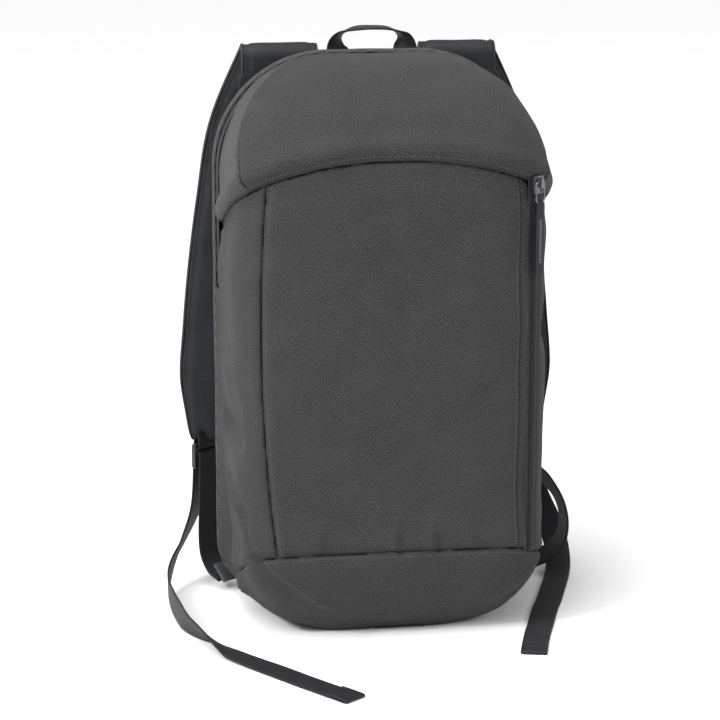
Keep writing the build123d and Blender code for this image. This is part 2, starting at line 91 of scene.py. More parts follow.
class Value:
    """A number that varies over a surface: arithmetic on it adds Math nodes."""

    def __init__(self, finish, socket):
        self.finish, self.socket = finish, socket

    def maths(self, operation, *values):
        return self.finish.node("ShaderNodeMath", {"operation": operation}, dict(enumerate(values)))

    def __add__(self, other):
        return self.maths("ADD", self, other)

    def __sub__(self, other):
        return self.maths("SUBTRACT", self, other)

    def __rsub__(self, other):
        return self.maths("SUBTRACT", other, self)

    def __mul__(self, other):
        return self.maths("MULTIPLY", self, other)

    __radd__, __rmul__ = __add__, __mul__

    def sine(self):
        return self.maths("SINE", self)

    def size(self):
        return self.maths("ABSOLUTE", self)


class Finish:
    """One procedural material and the nodes in it."""

    def __init__(self, name):
        self.material = bpy.data.materials.new(name)
        self.material.use_nodes = True
        self.tree = self.material.node_tree
        self.shader = self.tree.nodes["Principled BSDF"]

    def node(self, kind, settings=None, inputs=None, output=0):
        made = self.tree.nodes.new(kind)
        for key, value in (settings or {}).items():
            if key == "stops":
                ramp = made.color_ramp
                for element, (place, colour) in zip(ramp.elements, (value[0], value[-1])):
                    element.position, element.color = place, (*colour, 1)
                for place, colour in value[1:-1]:
                    ramp.elements.new(place).color = (*colour, 1)
            else:
                setattr(made, key, value)
        for key, value in (inputs or {}).items():
            self.feed(made.inputs[key], value)
        return Value(self, made.outputs[output])

    def feed(self, socket, value):
        if isinstance(value, Value):
            self.tree.links.new(value.socket, socket)
        else:
            socket.default_value = value

    def cloth_place(self):
        """Place on the flat cloth, in metres: across and along."""
        place = self.node("ShaderNodeUVMap", {"uv_map": "cloth"})
        parts = [self.node("ShaderNodeSeparateXYZ", inputs={0: place}, output=i) for i in (0, 1)]
        return place, parts[0], parts[1]

    def object_place(self):
        return self.node("ShaderNodeTexCoord", output=3)

    def grain(self, place, scale, detail=3.0, rough=0.55):
        return self.node("ShaderNodeTexNoise", inputs={"Vector": place, "Scale": scale, "Detail": detail,
                                                       "Roughness": rough})

    def ramp(self, value, *stops):
        return self.node("ShaderNodeValToRGB", {"stops": list(stops)}, {0: value})

    def blend(self, factor, first, second):
        return self.node("ShaderNodeMix", {"data_type": "RGBA"}, {0: factor, 6: first, 7: second}, output=2)

    def bump(self, height, depth, strength=1.0):
        return self.node("ShaderNodeBump", inputs={"Height": height, "Distance": depth,
                                                   "Strength": strength})

    def close(self, **inputs):
        for name, value in inputs.items():
            self.feed(self.shader.inputs[name.replace("_", " ")], value)
        return self.material


def twill(name, period, lean, light, dark):
    """Heathered woven cloth: diagonal ridges, crossing yarns and flecks of lighter fibre."""
    finish = Finish(name)
    place, across, along = finish.cloth_place()
    ridge = ((across * lean + along) * (2 * math.pi / period)).sine() * 0.5 + 0.5
    yarn = ((across - along * 0.4) * (2 * math.pi / (period * 0.62))).sine() * 0.5 + 0.5
    weave = ridge * 0.75 + yarn * 0.25
    stretched = finish.node("ShaderNodeMapping", {}, {"Vector": place, "Scale": (1.0, 0.6, 1.0),
                                                      "Rotation": (0, 0, 0.6)})
    fleck = finish.grain(stretched, 1350.0, 2.0, 0.65)
    cloud = finish.grain(place, 22.0, 3.0, 0.6)
    tone = weave * 0.5 + fleck * 0.84 + cloud * 0.08
    colour = finish.ramp(tone, (0.50, dark), (0.72, [0.42 * a + 0.58 * b for a, b in zip(light, dark)]),
                         (0.93, light))
    slub = finish.grain(place, 420.0, 2.0)
    return finish.close(Base_Color=colour, Roughness=0.78 + weave * 0.14,
                        Normal=finish.bump(weave + slub * 0.6, 0.00022, 0.75),
                        Sheen_Weight=0.04, Sheen_Roughness=0.5, Specular_IOR_Level=0.14)


def webbing_weave(name, base, lit, pitch=0.0011):
    """Woven nylon webbing: rows of ribs across it and a faint herringbone."""
    finish = Finish(name)
    place, across, along = finish.cloth_place()
    rib = ((along + across.size() * 0.5) * (2 * math.pi / pitch)).sine() * 0.5 + 0.5
    cord_row = (across * (2 * math.pi / 0.0016)).sine() * 0.5 + 0.5
    cloud = finish.grain(place, 60.0, 3.0)
    tone = rib * 0.35 + cord_row * 0.3 + cloud * 0.45
    colour = finish.ramp(tone, (0.25, base), (0.9, lit))
    return finish.close(Base_Color=colour, Roughness=0.5 + cloud * 0.2,
                        Normal=finish.bump(rib * 0.6 + cord_row * 0.5, 0.0002, 0.8),
                        Specular_IOR_Level=0.3, Sheen_Weight=0.02)


def plain_nylon(name, base, lit):
    """Closely woven plain nylon with a slight sheen."""
    finish = Finish(name)
    place, across, along = finish.cloth_place()
    warp = (across * (2 * math.pi / 0.0009)).sine() * 0.5 + 0.5
    weft = (along * (2 * math.pi / 0.0009)).sine() * 0.5 + 0.5
    weave = warp * weft
    cloud = finish.grain(place, 35.0, 4.0)
    colour = finish.ramp(weave * 0.4 + cloud * 0.7, (0.3, base), (0.85, lit))
    return finish.close(Base_Color=colour, Roughness=0.52 + cloud * 0.22,
                        Normal=finish.bump(weave + cloud * 0.8, 0.00018, 0.7),
                        Specular_IOR_Level=0.34, Sheen_Weight=0.03, Sheen_Roughness=0.4)


def spacer_mesh(name, base, lit):
    """Padded spacer mesh: rows of small open cells."""
    finish = Finish(name)
    place = finish.cloth_place()[0]
    cell = finish.node("ShaderNodeTexVoronoi", {"feature": "DISTANCE_TO_EDGE"},
                       {"Vector": place, "Scale": 420.0, "Randomness": 0.35})
    cloud = finish.grain(place, 40.0, 3.0)
    colour = finish.ramp(cell * 2.2 + cloud * 0.2, (0.12, lit), (0.6, base))
    return finish.close(Base_Color=colour, Roughness=0.85, Specular_IOR_Level=0.2,
                        Normal=finish.bump(1 - cell * 2.0, 0.0004, 0.8))


def moulded_plastic(name, base):
    finish = Finish(name)
    place = finish.object_place()
    pebble = finish.grain(place, 900.0, 2.0)
    wear = finish.grain(place, 60.0, 4.0)
    colour = finish.ramp(wear, (0.3, base), (0.8, [c * 1.8 for c in base]))
    return finish.close(Base_Color=colour, Roughness=0.34 + wear * 0.22,
                        Normal=finish.bump(pebble, 0.00006, 0.6), Specular_IOR_Level=0.5)


def cast_metal(name, base, shine):
    finish = Finish(name)
    place = finish.object_place()
    scratch = finish.grain(finish.node("ShaderNodeMapping", {}, {"Vector": place, "Scale": (1, 1, 0.1)}),
                           1400.0, 3.0)
    wear = finish.grain(place, 160.0, 3.0)
    colour = finish.ramp(wear, (0.35, base), (0.75, shine))
    return finish.close(Base_Color=colour, Metallic=1.0, Roughness=0.26 + scratch * 0.2,
                        Normal=finish.bump(scratch, 0.00003, 0.5))


def thread(name, base, lit):
    finish = Finish(name)
    place = finish.object_place()
    twist = finish.grain(place, 2600.0, 2.0)
    colour = finish.ramp(twist, (0.3, base), (0.75, lit))
    return finish.close(Base_Color=colour, Roughness=0.6 + twist * 0.15, Specular_IOR_Level=0.4,
                        Normal=finish.bump(twist, 0.0001, 0.6))


shell_twill = twill("charcoal_heather_twill", 0.0019, 0.9, (0.070, 0.070, 0.071), (0.003, 0.003, 0.004))
gusset_rib = twill("charcoal_ribbed_twill", 0.0017, 0.12, (0.096, 0.096, 0.097), (0.006, 0.006, 0.007))
black_webbing = webbing_weave("black_webbing", (0.002, 0.002, 0.003), (0.014, 0.015, 0.019))
black_nylon = plain_nylon("black_nylon", (0.003, 0.004, 0.005), (0.018, 0.021, 0.028))
grey_nylon = plain_nylon("grey_nylon_tab", (0.030, 0.031, 0.034), (0.085, 0.087, 0.092))
black_mesh = spacer_mesh("black_spacer_mesh", (0.004, 0.004, 0.005), (0.026, 0.026, 0.029))
tape_knit = webbing_weave("zip_tape_knit", (0.005, 0.005, 0.006), (0.022, 0.022, 0.025), 0.0007)
coil_plastic = moulded_plastic("nylon_coil", (0.008, 0.008, 0.009))
lock_plastic = moulded_plastic("black_acetal", (0.010, 0.010, 0.011))
slider_metal = cast_metal("dark_nickel", (0.10, 0.10, 0.105), (0.30, 0.30, 0.31))
grey_thread = thread("grey_thread", (0.030, 0.030, 0.032), (0.105, 0.105, 0.110))
black_thread = thread("black_thread", (0.006, 0.006, 0.008), (0.040, 0.042, 0.050))

# ------------------------------------------------------------------ making meshes


def make_piece(name, points, faces, finish, cloth=None):
    """Mesh piece from points in millimetres, with each point's place on the flat cloth."""
    mesh = bpy.data.meshes.new(name)
    mesh.from_pydata((np.asarray(points, float) * MM).tolist(), [], [list(f) for f in faces])
    piece = bpy.data.objects.new(name, mesh)
    scene.collection.objects.link(piece)
    mesh.materials.append(finish)
    mesh.shade_smooth()
    if cloth is not None:
        layer = mesh.uv_layers.new(name="cloth")
        corners = np.zeros(len(mesh.loops), int)
        mesh.loops.foreach_get("vertex_index", corners)
        layer.data.foreach_set("uv", (np.asarray(cloth, float)[corners] * MM).ravel())
    return piece


def grid_faces(rows, columns, around=False):
    """Quads of a grid of points; around joins its last column to its first."""
    i, j = np.meshgrid(np.arange(rows - 1), np.arange(columns if around else columns - 1), indexing="ij")
    i, j = i.ravel(), j.ravel()
    k = (j + 1) % columns
    return np.stack([i * columns + j, i * columns + k, (i + 1) * columns + k, (i + 1) * columns + j], 1)


def smooth_line(stations, count):
    """Catmull-Rom line through the stations, as count even rows; columns past the third ride along."""
    p = np.asarray(stations, float)
    p = np.vstack([2 * p[0] - p[1], p, 2 * p[-1] - p[-2]])
    rows = []
    for a, b, c, d in zip(p, p[1:], p[2:], p[3:]):
        t = np.linspace(0, 1, 24, endpoint=False)[:, None]
        rows.append(0.5 * (2 * b + (c - a) * t + (2 * a - 5 * b + 4 * c - d) * t**2
                           + (3 * b - a - 3 * c + d) * t**3))
    line = np.vstack([*rows, p[-2][None]])
    return even_line(line, count)


def even_line(line, count):
    steps = np.linalg.norm(np.diff(line[:, :3], axis=0), axis=1)
    reach = np.concatenate([[0], np.cumsum(steps)])
    wanted = np.linspace(0, reach[-1], count)
    return np.stack([np.interp(wanted, reach, column) for column in line.T], 1)


def unit(v):
    return v / np.maximum(np.linalg.norm(v, axis=-1, keepdims=True), 1e-9)


def band(name, line, across, half_width, half_thick, section, finish):
    """Closed band along a line: section is a closed loop of (across, out) in units of the half sizes."""
    along = unit(np.gradient(line, axis=0))
    across = unit(across - (across * along).sum(1, keepdims=True) * along)
    out = np.cross(along, across)
    a, b = section[:, 0], section[:, 1]
    wide = np.broadcast_to(half_width, len(line))[:, None, None]
    thick = np.broadcast_to(half_thick, len(line))[:, None, None]
    rings = (line[:, None] + across[:, None] * a[None, :, None] * wide
             + out[:, None] * b[None, :, None] * thick)
    count = len(section)
    points = rings.reshape(-1, 3)
    faces = [list(f) for f in grid_faces(len(line), count, around=True)]
    faces += [list(range(count))[::-1], list(range(len(points) - count, len(points)))]
    reach = np.concatenate([[0], np.cumsum(np.linalg.norm(np.diff(line, axis=0), axis=1))])
    cloth = np.stack([(a[None, :] * wide[:, :, 0]), np.repeat(reach[:, None], count, 1)], 2).reshape(-1, 2)
    piece = make_piece(name, points, faces, finish, cloth)
    return piece, rings


def flat_section(edge=0.5, steps=5, wide=20.0, thick=1.5):
    """Section of flat webbing with rounded edges, a few points across each face."""
    face = np.linspace(-1 + edge / wide * 2, 1 - edge / wide * 2, steps * 2 + 1)
    top = [(x, 1.0) for x in face[::-1]]
    low = [(x, -1.0) for x in face]
    return np.array([(1.0, 0.35), *top, (-1.0, 0.35), (-1.0, -0.35), *low, (1.0, -0.35)])


def puffed_section(count, power=2.6):
    """Section of a padded strap: a flattened oval with crowned faces."""
    turn = np.linspace(0, 2 * math.pi, count, endpoint=False)
    c, s = np.cos(turn), np.sin(turn)
    return np.stack([np.sign(c) * np.abs(c) ** (2 / (power * 2.2)),
                     np.sign(s) * np.abs(s) ** (2 / power)], 1)


def ribbon(name, stations, width, thick, finish, count=80):
    """Flat webbing through stations, each a point and the direction of its width."""
    rows = smooth_line([(*point, *across) for point, across in stations], count)
    return band(name, rows[:, :3], rows[:, 3:6], width / 2, thick / 2,
                flat_section(wide=width, thick=thick), finish)


def apply_modifiers(piece):
    bpy.context.view_layer.update()
    shaped = bpy.data.meshes.new_from_object(piece.evaluated_get(bpy.context.evaluated_depsgraph_get()))
    piece.modifiers.clear()
    old, piece.data = piece.data, shaped
    shaped.name = piece.name
    bpy.data.meshes.remove(old)


def thicken(piece, thickness):
    """Gives a cloth its thickness, inwards from its outer face."""
    cloth = piece.modifiers.new("cloth", "SOLIDIFY")
    cloth.thickness, cloth.offset = thickness * MM, -1
    apply_modifiers(piece)


STITCH_RING = 6                 # points round one stitch


def stitches(name, runs, finish, pitch=3.4, length=2.4, radius=0.32):
    """Rows of sewn stitches: each run is an even line of points that lies on the cloth."""
    points, faces = [], []
    turn = np.linspace(0, 2 * math.pi, STITCH_RING, endpoint=False)
    shape = [(-0.5, 0.35), (-0.3, 0.95), (0.3, 0.95), (0.5, 0.35)]
    for run in runs:
        run = np.asarray(run, float)
        total = np.linalg.norm(np.diff(run, axis=0), axis=1).sum()
        count = max(2, int(total / pitch))
        middle = even_line(run, 2 * count + 1)[1::2]
        ends = even_line(run, 2 * count + 1)[2::2]
        for here, after in zip(middle, ends):
            along = unit(after - here)
            side = unit(np.cross(along, (0.31, 0.24, 0.92)))
            up = np.cross(along, side)
            base = len(points)
            for place, size in shape:
                for angle in turn:
                    points.append(here + along * place * length
                                  + (side * math.cos(angle) + up * math.sin(angle)) * radius * size)
            faces += [[base + f for f in quad] for quad in grid_faces(len(shape), STITCH_RING, around=True)]
            faces.append([base + k for k in range(STITCH_RING)][::-1])
            faces.append([len(points) - STITCH_RING + k for k in range(STITCH_RING)])
    return make_piece(name, points, faces, finish)


# ------------------------------------------------------------------ camera, floor and light

aim = Vector((-0.018, -0.0007, 0.2023))
AZIMUTH, ELEVATION, DISTANCE = math.radians(-8), math.radians(14), 2.0
toward = Vector((math.sin(AZIMUTH) * math.cos(ELEVATION), -math.cos(AZIMUTH) * math.cos(ELEVATION),
                 math.sin(ELEVATION)))
camera_data = bpy.data.cameras.new("camera")
camera_data.lens = 131.75
camera = bpy.data.objects.new("camera", camera_data)
camera.location = aim + toward * DISTANCE
camera.rotation_euler = (-toward).to_track_quat("-Z", "Y").to_euler()
scene.collection.objects.link(camera)
scene.camera = camera

floor_mesh = bpy.data.meshes.new("floor")
floor_mesh.from_pydata([(-6, -6, 0), (6, -6, 0), (6, 6, 0), (-6, 6, 0)], [], [(0, 1, 2, 3)])
floor = bpy.data.objects.new("floor", floor_mesh)
scene.collection.objects.link(floor)
paper = Finish("pale_paper")
fibre = paper.grain(paper.object_place(), 30.0, 4.0)
floor_mesh.materials.append(paper.close(Base_Color=paper.ramp(fibre, (0.3, (0.90, 0.90, 0.90)),
                                                              (0.8, (0.92, 0.92, 0.92))), Roughness=0.9))

world = bpy.data.worlds.new("studio")
world.use_nodes = True
world.node_tree.nodes["Background"].inputs["Color"].default_value = (1.0, 1.0, 1.0, 1)
ray = world.node_tree.nodes.new("ShaderNodeLightPath")
level = world.node_tree.nodes.new("ShaderNodeMapRange")
level.inputs["To Min"].default_value, level.inputs["To Max"].default_value = 0.55, 1.0
world.node_tree.links.new(ray.outputs["Is Camera Ray"], level.inputs["Value"])
world.node_tree.links.new(level.outputs["Result"], world.node_tree.nodes["Background"].inputs["Strength"])
scene.world = world
scene.view_settings.view_transform = "Standard"


def softbox(name, place, size, power, colour=(1, 1, 1)):
    light = bpy.data.lights.new(name, "AREA")
    light.shape, light.size, light.energy, light.color = "DISK", size, power, colour
    lamp = bpy.data.objects.new(name, light)
    lamp.location = place
    lamp.rotation_euler = (Vector(place) - Vector((0, 0, 0.2))).to_track_quat("Z", "Y").to_euler()
    scene.collection.objects.link(lamp)


softbox("softbox_top", (-0.3, -0.3, 2.2), 0.9, 22)
softbox("softbox_left", (-1.7, -0.9, 1.4), 0.5, 34)
softbox("softbox_right", (1.9, -0.9, 1.1), 0.8, 12)
window = bpy.data.lights.new("window", "SUN")
window.energy, window.angle = 1.9, math.radians(50)
window_lamp = bpy.data.objects.new("window", window)
window_lamp.rotation_euler = Vector((-0.55, -0.5, 1.0)).to_track_quat("Z", "Y").to_euler()
scene.collection.objects.link(window_lamp)

# ------------------------------------------------------------------ loose webbing tails

tail_routes = {
    "left": [(-131.5, 95.2, 98), (-133, 98, 78), (-137, 98.5, 58), (-147, 92, 38), (-158, 76, 22),
             (-163.5, 55, 12.5), (-163, 25, 10.6), (-160.5, -5, 10.6), (-156, -35, 10), (-143, -61, 4),
             (-120, -92, 1.4), (-97, -121, 1.2), (-75, -151, 1.2), (-55, -176, 1.2)],
    "right": [(131.5, 95.2, 98), (135, 99, 79), (143, 103, 58), (153, 104, 36), (159, 100, 17),
              (158, 86, 6.5), (152, 63, 2.2), (143, 36, 1.4), (134.2, 8, 1.2), (124, -20, 1.2),
              (114.5, -51, 1.2), (106, -77, 1.2), (100, -100, 1.2)],
}
tail_turns = {                  # direction of the webbing's width at even steps along each tail
    "left": [(0.8, 0.6, 0), (0.55, 0.85, 0), (0.2, 0.95, -0.2), (0.05, 0.5, -0.85), (0, 0, -1),
             (0, 0, -1), (0.45, 0.25, -0.8), (0.8, 0.5, -0.1), (0.83, 0.56, 0), (0.8, 0.6, 0),
             (0.78, 0.62, 0)],
    "right": [(-0.8, 0.6, 0), (-0.9, 0.4, 0.1), (-0.95, 0.2, 0.2), (-0.98, 0.15, 0), (-0.97, 0.2, 0),
              (-0.95, 0.3, 0), (-0.95, 0.3, 0), (-0.95, 0.3, 0), (-0.95, 0.3, 0)],
}
WEB = 20.0
WEB_THICK = 1.5


def route_line(name, route):
    """Points along the route's own smooth spline, in millimetres."""
    data = bpy.data.curves.new(name, "CURVE")
    data.dimensions = "3D"
    data.resolution_u = 12
    spline = data.splines.new("NURBS")
    spline.points.add(len(route) - 1)
    for knot, point in zip(spline.points, route):
        knot.co = (*[v * MM for v in point], 1)
    spline.order_u = 3
    spline.use_endpoint_u = True
    guide = bpy.data.objects.new(name, data)
    scene.collection.objects.link(guide)
    bpy.context.view_layer.update()
    mesh = bpy.data.meshes.new_from_object(guide.evaluated_get(bpy.context.evaluated_depsgraph_get()))
    line = np.array([v.co for v in mesh.vertices]) / MM
    bpy.data.objects.remove(guide)
    bpy.data.meshes.remove(mesh)
    return line


def tail_with_tip(side):
    """One loose tail of webbing and the folded, sewn tip at its end."""
    line = even_line(route_line("tail_guide", tail_routes[side]), 120)
    turns = np.asarray(tail_turns[side], float)
    across = unit(np.stack([np.interp(np.linspace(0, 1, 120), np.linspace(0, 1, len(turns)), c)
                            for c in turns.T], 1))
    along = unit(np.gradient(line, axis=0))
    across = unit(across - (across * along).sum(1, keepdims=True) * along)
    line[:, 2] = np.maximum(line[:, 2], np.abs(across[:, 2]) * WEB / 2 + 1.0)
    tail, _ = band(f"webbing_tail_piece_{side}", line, across, WEB / 2, WEB_THICK / 2,
                   flat_section(), black_webbing)
    heading = unit(line[-1] - line[-4])
    side_way = unit(across[-1] - (across[-1] @ heading) * heading)
    fold = [(-9, 2.4), (-2, 2.6), (6, 2.5), (11.5, 2.3), (12.6, 1.6), (11.5, 0.95), (6, 0.9), (0.3, 0.9)]
    fold_line = np.array([line[-1] + heading * a + np.array((0, 0, b - line[-1][2])) for a, b in fold])
    rows = smooth_line([(*p, *side_way) for p in fold_line], 40)
    tip, _ = band(f"webbing_tip_piece_{side}", rows[:, :3], rows[:, 3:6], WEB / 2 - 0.1, 0.62,
                  flat_section(), black_webbing)
    rows = [[line[-1] + heading * a + side_way * b + np.array((0, 0, 3.25 - line[-1][2]))
             for b in (-7.5, 7.5)] for a in (-5.5, 3.5)]
    sewn = stitches(f"tip_stitches_{side}", rows, black_thread, 3.0, 2.2, 0.28)
    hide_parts(f"webbing_tail_{side}")
    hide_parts(f"webbing_tip_{side}")
    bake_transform(tail)
    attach(tip, "root")
    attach(sewn, "root")


for side_name in ("left", "right"):
    tail_with_tip(side_name)

# ------------------------------------------------------------------ form of the bag


# the side profile rounds off below and above on two arcs: their middles and radii
BASE_ARC_Y, BASE_ARC = 18.6, 91.6
CROWN_ARC_Y, CROWN_ARC_Z, CROWN_ARC = 22, 326.9, 103.1


def front_at(z):
    """Y of the bag's front at each height."""
    y = np.full_like(z, FRONT_Y)
    low, high = z < BASE_TOP_Z, z > HOOD_Z
    y[low] = BASE_ARC_Y - np.sqrt(BASE_ARC**2 - (BASE_TOP_Z - z[low]) ** 2)
    rise_in = np.minimum(z[high] - CROWN_ARC_Z, 103.09)
    y[high] = CROWN_ARC_Y - np.sqrt(CROWN_ARC**2 - rise_in**2)
    return y


def upright_rows():
    """Half width, height and front of each row of the shell, from the middle of the base to the crown."""
    low_x = HALF_WIDTH - BASE_CORNER
    crown_x = HALF_WIDTH - CROWN_RADIUS
    rows = [(low_x * k, 0.0) for k in np.linspace(0.02, 1, 24, endpoint=False)]
    rows += [(low_x + BASE_CORNER * math.sin(a), BASE_CORNER * (1 - math.cos(a)))
             for a in np.linspace(0, math.pi / 2, 26, endpoint=False)]
    crown_z = HEIGHT - CROWN_RADIUS
    rows += [(HALF_WIDTH, z) for z in np.linspace(BASE_CORNER, crown_z, 150, endpoint=False)]
    rows += [(crown_x + CROWN_RADIUS * math.cos(a), crown_z + CROWN_RADIUS * math.sin(a))
             for a in np.linspace(0, math.pi / 2, 64, endpoint=False)]
    rows += [(crown_x * k, HEIGHT) for k in np.linspace(1, 0.02, 14)]
    rows = np.array(rows)
    front = front_at(rows[:, 1])
    rear = GUSSET_Y
    for i, (half, z) in enumerate(rows):
        if z == 0.0:
            front[i] = rear + (FLOOR_FRONT_Y - rear) * max(half / low_x, 0.02)
        elif half < crown_x:
            front[i] = rear + (CROWN_ARC_Y - rear) * max(half / crown_x, 0.02)
    return rows[:, 0], rows[:, 1], front


COLUMNS = 240                   # points in one row of the shell
PLAN_POWER = 4.6                # of the superellipse that rounds the plan's corners
THETA = np.linspace(-math.pi / 2, math.pi / 2, 400)


def section_at(half, front):
    """One row of the shell: an open, bulging U from the left rear edge round the front to the right."""
    middle = GUSSET_Y - (GUSSET_Y - front) * 0.35
    x = half * np.sign(np.sin(THETA)) * np.abs(np.sin(THETA)) ** (2 / PLAN_POWER)
    y = middle - (middle - front) * np.abs(np.cos(THETA)) ** (2 / PLAN_POWER)
    y = y + 4.5 * (x / HALF_WIDTH) ** 2 * np.clip((middle - y) / 60, 0, 1)
    path = np.vstack([[-half, GUSSET_Y], np.stack([x, y], 1), [half, GUSSET_Y]])
    return even_line(np.hstack([path, np.zeros((len(path), 1))]), COLUMNS)[:, :2]


def shell_grid():
    half, height, front = upright_rows()
    grid = np.zeros((len(half), COLUMNS, 3))
    for i, (w, z, f) in enumerate(zip(half, height, front)):
        grid[i, :, :2] = section_at(w, f)
        grid[i, :, 2] = z
    return grid


def normals_of(grid):
    """Outward direction at each point; the flat middles of the base and crown face straight down and up."""
    out = unit(np.cross(np.gradient(grid, axis=1), np.gradient(grid, axis=0)))
    out[grid[:, 0, 2] == 0] = (0, 0, -1)
    top = np.stack([np.sign(grid[..., 0]) * np.maximum(np.abs(grid[..., 0]) - 35, 0) / CROWN_RADIUS,
                    np.minimum(grid[..., 1] - CROWN_ARC_Y, 0) / CROWN_ARC, (grid[..., 2] - 334) / 96], 2)
    share = np.clip((grid[..., 2:] - 398) / 16, 0, 1)
    return unit(out * (1 - share) + unit(top) * share)


def lumps(points, scale, seed):
    """Smooth random field from -1 to 1 at points in millimetres."""
    flat = points.reshape(-1, 3) / scale + seed
    return np.array([noise.noise(Vector(p)) for p in flat]).reshape(points.shape[:-1])


def crease(points, path, width, height, sharp=1.0):
    """Height of one fold that runs along a path, fading at both its ends."""
    path = np.asarray(path, float)
    best = np.full(points.shape[:-1], 1e9)
    place = np.zeros_like(best)
    for i, (a, b) in enumerate(zip(path, path[1:])):
        ab = b - a
        t = np.clip(((points - a) @ ab) / (ab @ ab), 0, 1)
        gap = np.linalg.norm(points - a - t[..., None] * ab, axis=-1)
        closer = gap < best
        best = np.where(closer, gap, best)
        place = np.where(closer, (i + t) / (len(path) - 1), place)
    fade = np.clip(np.minimum(place, 1 - place) * 5, 0, 1)
    return height * np.exp(-(best / width) ** sharp) * (fade * (2 - fade))


def hood_height(x, y, z):
    """Height above the hood seam."""
    return z - (HOOD_Z + HOOD_FALL * (y - FRONT_Y) - HOOD_ARCH * x**2)


def base_height(x, y, z):
    return z - (BASE_TOP_Z + BASE_FALL * (y - FRONT_Y))


def seam_x(z):
    """Place of the left front seam at each height: bowed outwards at its middle."""
    return SIDE_SEAM_X + 0.00037 * (z - 235) ** 2


def droop(place):
    return Vector((0, 0, HOOD_ARCH * place.x**2))


def bow(place):
    return Vector((SIDE_SEAM_X - seam_x(place.z), 0, 0))


def ridge(side):
    back = Vector((side * 60, OPENING_Y, 427))
    front = Vector((side * 113, -60, 346))
    facing = (front - back).cross(Vector((side * 0.7, -0.2, 0.65)))
    return back, facing if facing.x * side < 0 else -facing


